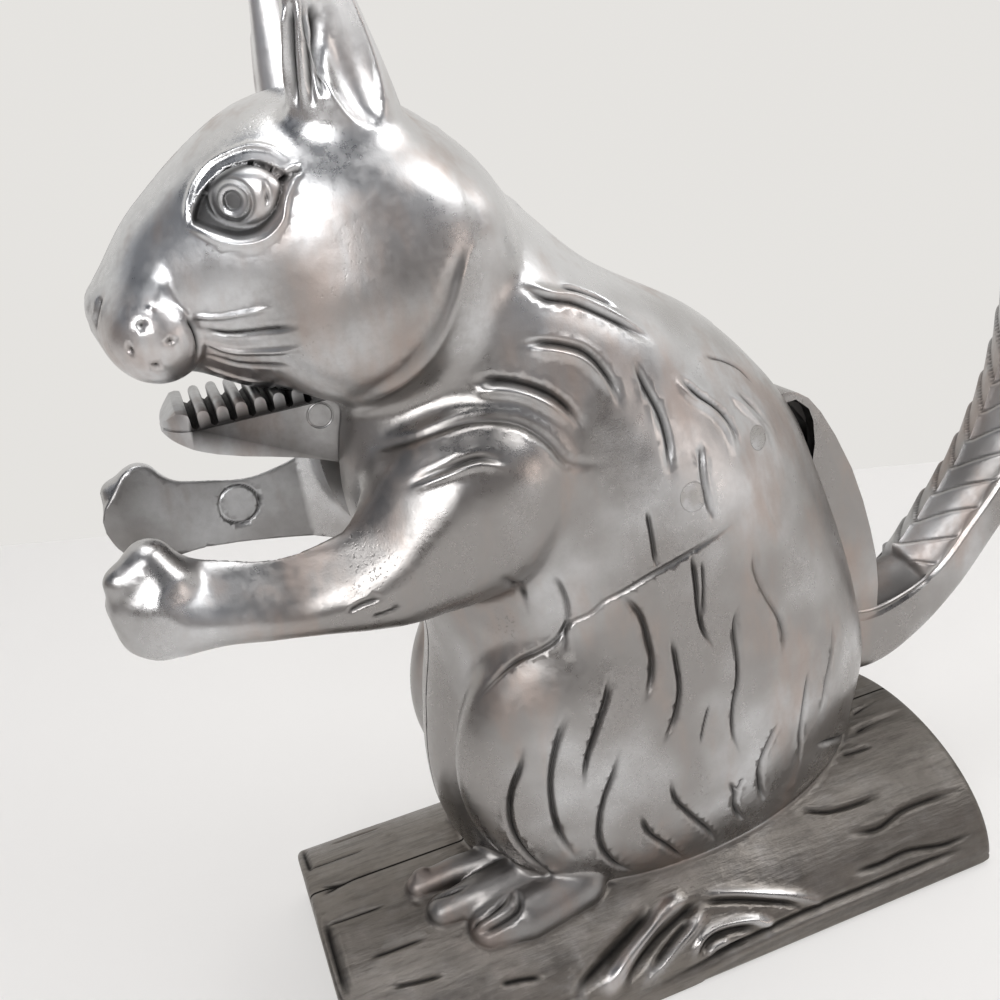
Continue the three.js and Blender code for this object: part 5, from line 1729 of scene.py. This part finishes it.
    def tail(self) -> bpy.types.Object:
        """Makes the tail: a roof of swept barbs over a plain side, closed at both ends."""
        points, dark = self.tail_rings()
        Bench.clear()
        bpy.ops.mesh.primitive_grid_add(x_subdivisions=self.sides, y_subdivisions=self.rings - 1)
        piece = bpy.context.object
        piece.name = "tail"
        Bench.place(piece, points.reshape(-1, 3))
        Bench.write(piece, "patina", dark)
        with Bench.editing(piece):
            bpy.ops.mesh.remove_doubles(threshold=0.0005)
            bpy.ops.mesh.select_all(action="DESELECT")
            bpy.ops.mesh.select_non_manifold()
            bpy.ops.mesh.edge_face_add()
            bpy.ops.mesh.select_all(action="SELECT")
            bpy.ops.mesh.normals_make_consistent(inside=False)
        return piece

    def build(self, finish: bpy.types.Material) -> None:
        """Joins the lever's parts into one casting and dresses it."""
        half = self.width / 2
        piece = self.jaw()
        Bench.write(piece, "patina", np.zeros(len(piece.data.vertices)))
        parts = [
            self.strut((-29.2, 115.4, 10), (*PIVOT, 14)),
            Bench.bar("hub", *PIVOT, HUB_RADIUS, -half, half),
            self.strut((*PIVOT, 10), (50.8, 54.5, 10)),
            self.saddle(),
            self.tail(),
        ]
        for part in parts:
            Bench.combine(piece, part, "UNION")
        Bench.combine(piece, Bench.bar("bore", *PIVOT, 2.9, -20, 20), "DIFFERENCE")
        piece.name = "tail_lever_casting"
        grooves = read_all(piece.data.attributes["patina"].data, "value", kind=np.float32)
        Bench.write(piece, "patina", np.maximum(grooves, self.patina(Bench.points(piece))))
        Bench.finish(piece, "lever", ["tail_lever"], "cast_aluminium", finish, 38)

    def patina(self, p: Array) -> Array:
        """Dark patina in the gullets and on the jaw, and painted shade inside the saddle."""
        teeth = np.clip((JAW_TOP - 0.3 - p[:, 2]) / 1.3, 0, 1)
        teeth *= within(p, (JAW_TIP + 4.6, -FAR, 128.3), (-45, FAR, FAR))
        # Painted shade inside the saddle's channel.
        edge = self.width / 2 - 1.5
        inside = within(p, (36, -edge, 66), (57, edge, FAR))
        return np.maximum.reduce([0.95 * teeth, 0.85 * inside, 0.22 * (p[:, 0] < -38)])


@dataclass
class Studio:
    """Pale table and wall, soft lamps and the photograph's camera."""

    azimuth: float = -16.2148
    elevation: float = 21.4450
    roll: float = 9.4742
    focal: float = 1094.774
    picture_width: float = 1000.0
    film_width: float = 36.0
    eye: tuple = (-70.890, -187.691, 175.271)
    aim: tuple = (0, 0, 0.09)

    def camera(self) -> None:
        """Sets the camera at the photograph's place."""
        a, e, r = (math.radians(v) for v in (self.azimuth, self.elevation, self.roll))
        back = Vector((math.sin(a) * math.cos(e), -math.cos(a) * math.cos(e), math.sin(e)))
        right = Vector((math.cos(a), math.sin(a), 0))
        up = back.cross(right)
        turned_right = right * math.cos(r) - up * math.sin(r)
        turned_up = right * math.sin(r) + up * math.cos(r)
        data = bpy.data.cameras.new("photo_camera")
        data.sensor_width = self.film_width
        data.lens = self.focal / self.picture_width * self.film_width
        data.clip_start, data.clip_end = 0.01, 20
        camera = bpy.data.objects.new("photo_camera", data)
        bpy.context.scene.collection.objects.link(camera)
        x, y, z = self.eye
        place = Vector(((x + SHIFT_X) * MM, y * MM, z * MM))
        basis = Matrix((turned_right, turned_up, back)).transposed().to_4x4()
        camera.matrix_world = Matrix.Translation(place) @ basis
        bpy.context.scene.camera = camera

    def sheet(
        self, name: str, size: float, place: Sequence[float], turn: Sequence[float],
        colour: Sequence[float], own: float, one_sided: bool,
    ) -> None:
        """Lays one plain sheet of the backdrop.

        Args:
            name: Its name.
            size: Length of its sides in metres.
            place: Its middle.
            turn: Its turns about X, Y and Z.
            colour: Its paint.
            own: Share of its own light that the camera and reflections see.
            one_sided: True if it can't be seen from behind.
        """
        Bench.clear()
        bpy.ops.mesh.primitive_plane_add(size=size, location=place, rotation=turn)
        sheet = bpy.context.object
        sheet.name = name
        g = Graph(f"{name}_paint")
        tone = g.noise(g.coordinates(), 3, 2, 0.5)
        shaded = tuple(v * 0.95 for v in colour[:3]) + (1,)
        paint = g.mix(tone.ramp(0.3, 0.7) * 0.25, colour, shaded)
        seen = g.add("ShaderNodeLightPath", out="Is Camera Ray")
        seen = seen.most(g.add("ShaderNodeLightPath", out="Is Glossy Ray"))
        lit = g.add("ShaderNodeBsdfPrincipled", inputs={"Base Color": paint, "Roughness": 0.8})
        glow = g.add("ShaderNodeEmission", inputs={"Color": paint, "Strength": 1.0})
        shader = g.add("ShaderNodeMixShader", inputs={0: seen * own, 1: lit, 2: glow})
        if one_sided:
            behind = g.add("ShaderNodeNewGeometry", out="Backfacing")
            shader = g.add("ShaderNodeMixShader", inputs={0: behind, 1: shader, 2: g.add("ShaderNodeBsdfTransparent")})
        g.add("ShaderNodeOutputMaterial", inputs={"Surface": shader})
        sheet.data.materials.append(g.owner)

    def backdrop(self) -> None:
        """Lays the table and stands the wall behind it."""
        wall_turn = (math.pi / 2, 0, math.radians(-27.95))
        self.sheet("table_top", 4.0, (0, 0, -0.0002), (0, 0, 0), (0.88, 0.865, 0.85, 1), 0.55, False)
        self.sheet("back_wall", 6.0, (-0.027, 0.2686, 0), wall_turn, (0.79, 0.775, 0.75, 1), 1.0, True)

    def lamp(
        self, name: str, place: Sequence[float], size: float, watts: float, colour: Sequence[float] = (1, 1, 1),
    ) -> None:
        """Hangs one square soft lamp that looks at the figure's middle.

        Args:
            name: Its name.
            place: Its place in metres.
            size: Length of its sides in metres.
            watts: Its power.
            colour: Its light's colour.
        """
        data = bpy.data.lights.new(name, "AREA")
        data.shape, data.size, data.energy, data.color = "SQUARE", size, watts, colour
        lamp = bpy.data.objects.new(name, data)
        bpy.context.scene.collection.objects.link(lamp)
        lamp.location = place
        lamp.rotation_euler = (Vector(self.aim) - Vector(place)).to_track_quat("-Z", "Y").to_euler()

    def light(self) -> None:
        """Soft studio light: a wide window above and to the left, a fill and a dim room."""
        self.lamp("window", (-0.5, -0.8, 0.66), 0.5, 5)
        self.lamp("ceiling", (0.05, -0.02, 1.1), 0.7, 4.5)
        self.lamp("right_window", (0.55, -0.38, 0.7), 0.35, 2.2)
        self.lamp("low_fill", (0.75, -0.75, 0.16), 0.3, 0.4, (1, 0.86, 0.78))
        world = bpy.data.worlds.new("room")
        g = Graph("room", world)
        way = g.add("ShaderNodeTexCoord", out="Generated")
        high = way.part("Z")
        shadow = way.part("Y").ramp(0.1, -0.2) * high.ramp(0.38, 0.52) * 0.88
        patches = g.noise(way, 2.1, 2, 0.5).ramp(0.42, 0.58)
        lower = g.mix(patches, (0.24, 0.22, 0.21, 1), (0.34, 0.31, 0.30, 1))
        upper = g.mix(patches, (0.035, 0.04, 0.055, 1), (0.62, 0.64, 0.68, 1))
        tone = g.mix(high.ramp(0.15, 0.5), lower, upper)
        tone = g.mix(shadow, tone, (0.03, 0.035, 0.05, 1))
        glow = g.add("ShaderNodeBackground", inputs={"Color": tone, "Strength": 0.8})
        g.add("ShaderNodeOutputWorld", inputs={"Surface": glow})
        bpy.context.scene.world = world

    def build(self) -> None:
        """Sets up camera, backdrop and light."""
        self.camera()
        self.backdrop()
        self.light()
        bpy.context.scene.view_settings.view_transform = "Standard"


def main() -> None:
    """Builds the studio and every piece, and reports each."""
    logging.basicConfig(level=logging.INFO, format="%(message)s")
    Studio().build()
    aluminium = CastAluminium().build()
    rivets = WireAluminium().build()
    Castings().build(aluminium, rivets)
    Lever().build(aluminium)
    for name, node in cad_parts.items():
        node.data.materials.clear()
        node.data.materials.append(rivets if "rivet" in name or "pin" in name else aluminium)


if __name__ == "__main__":
    main()
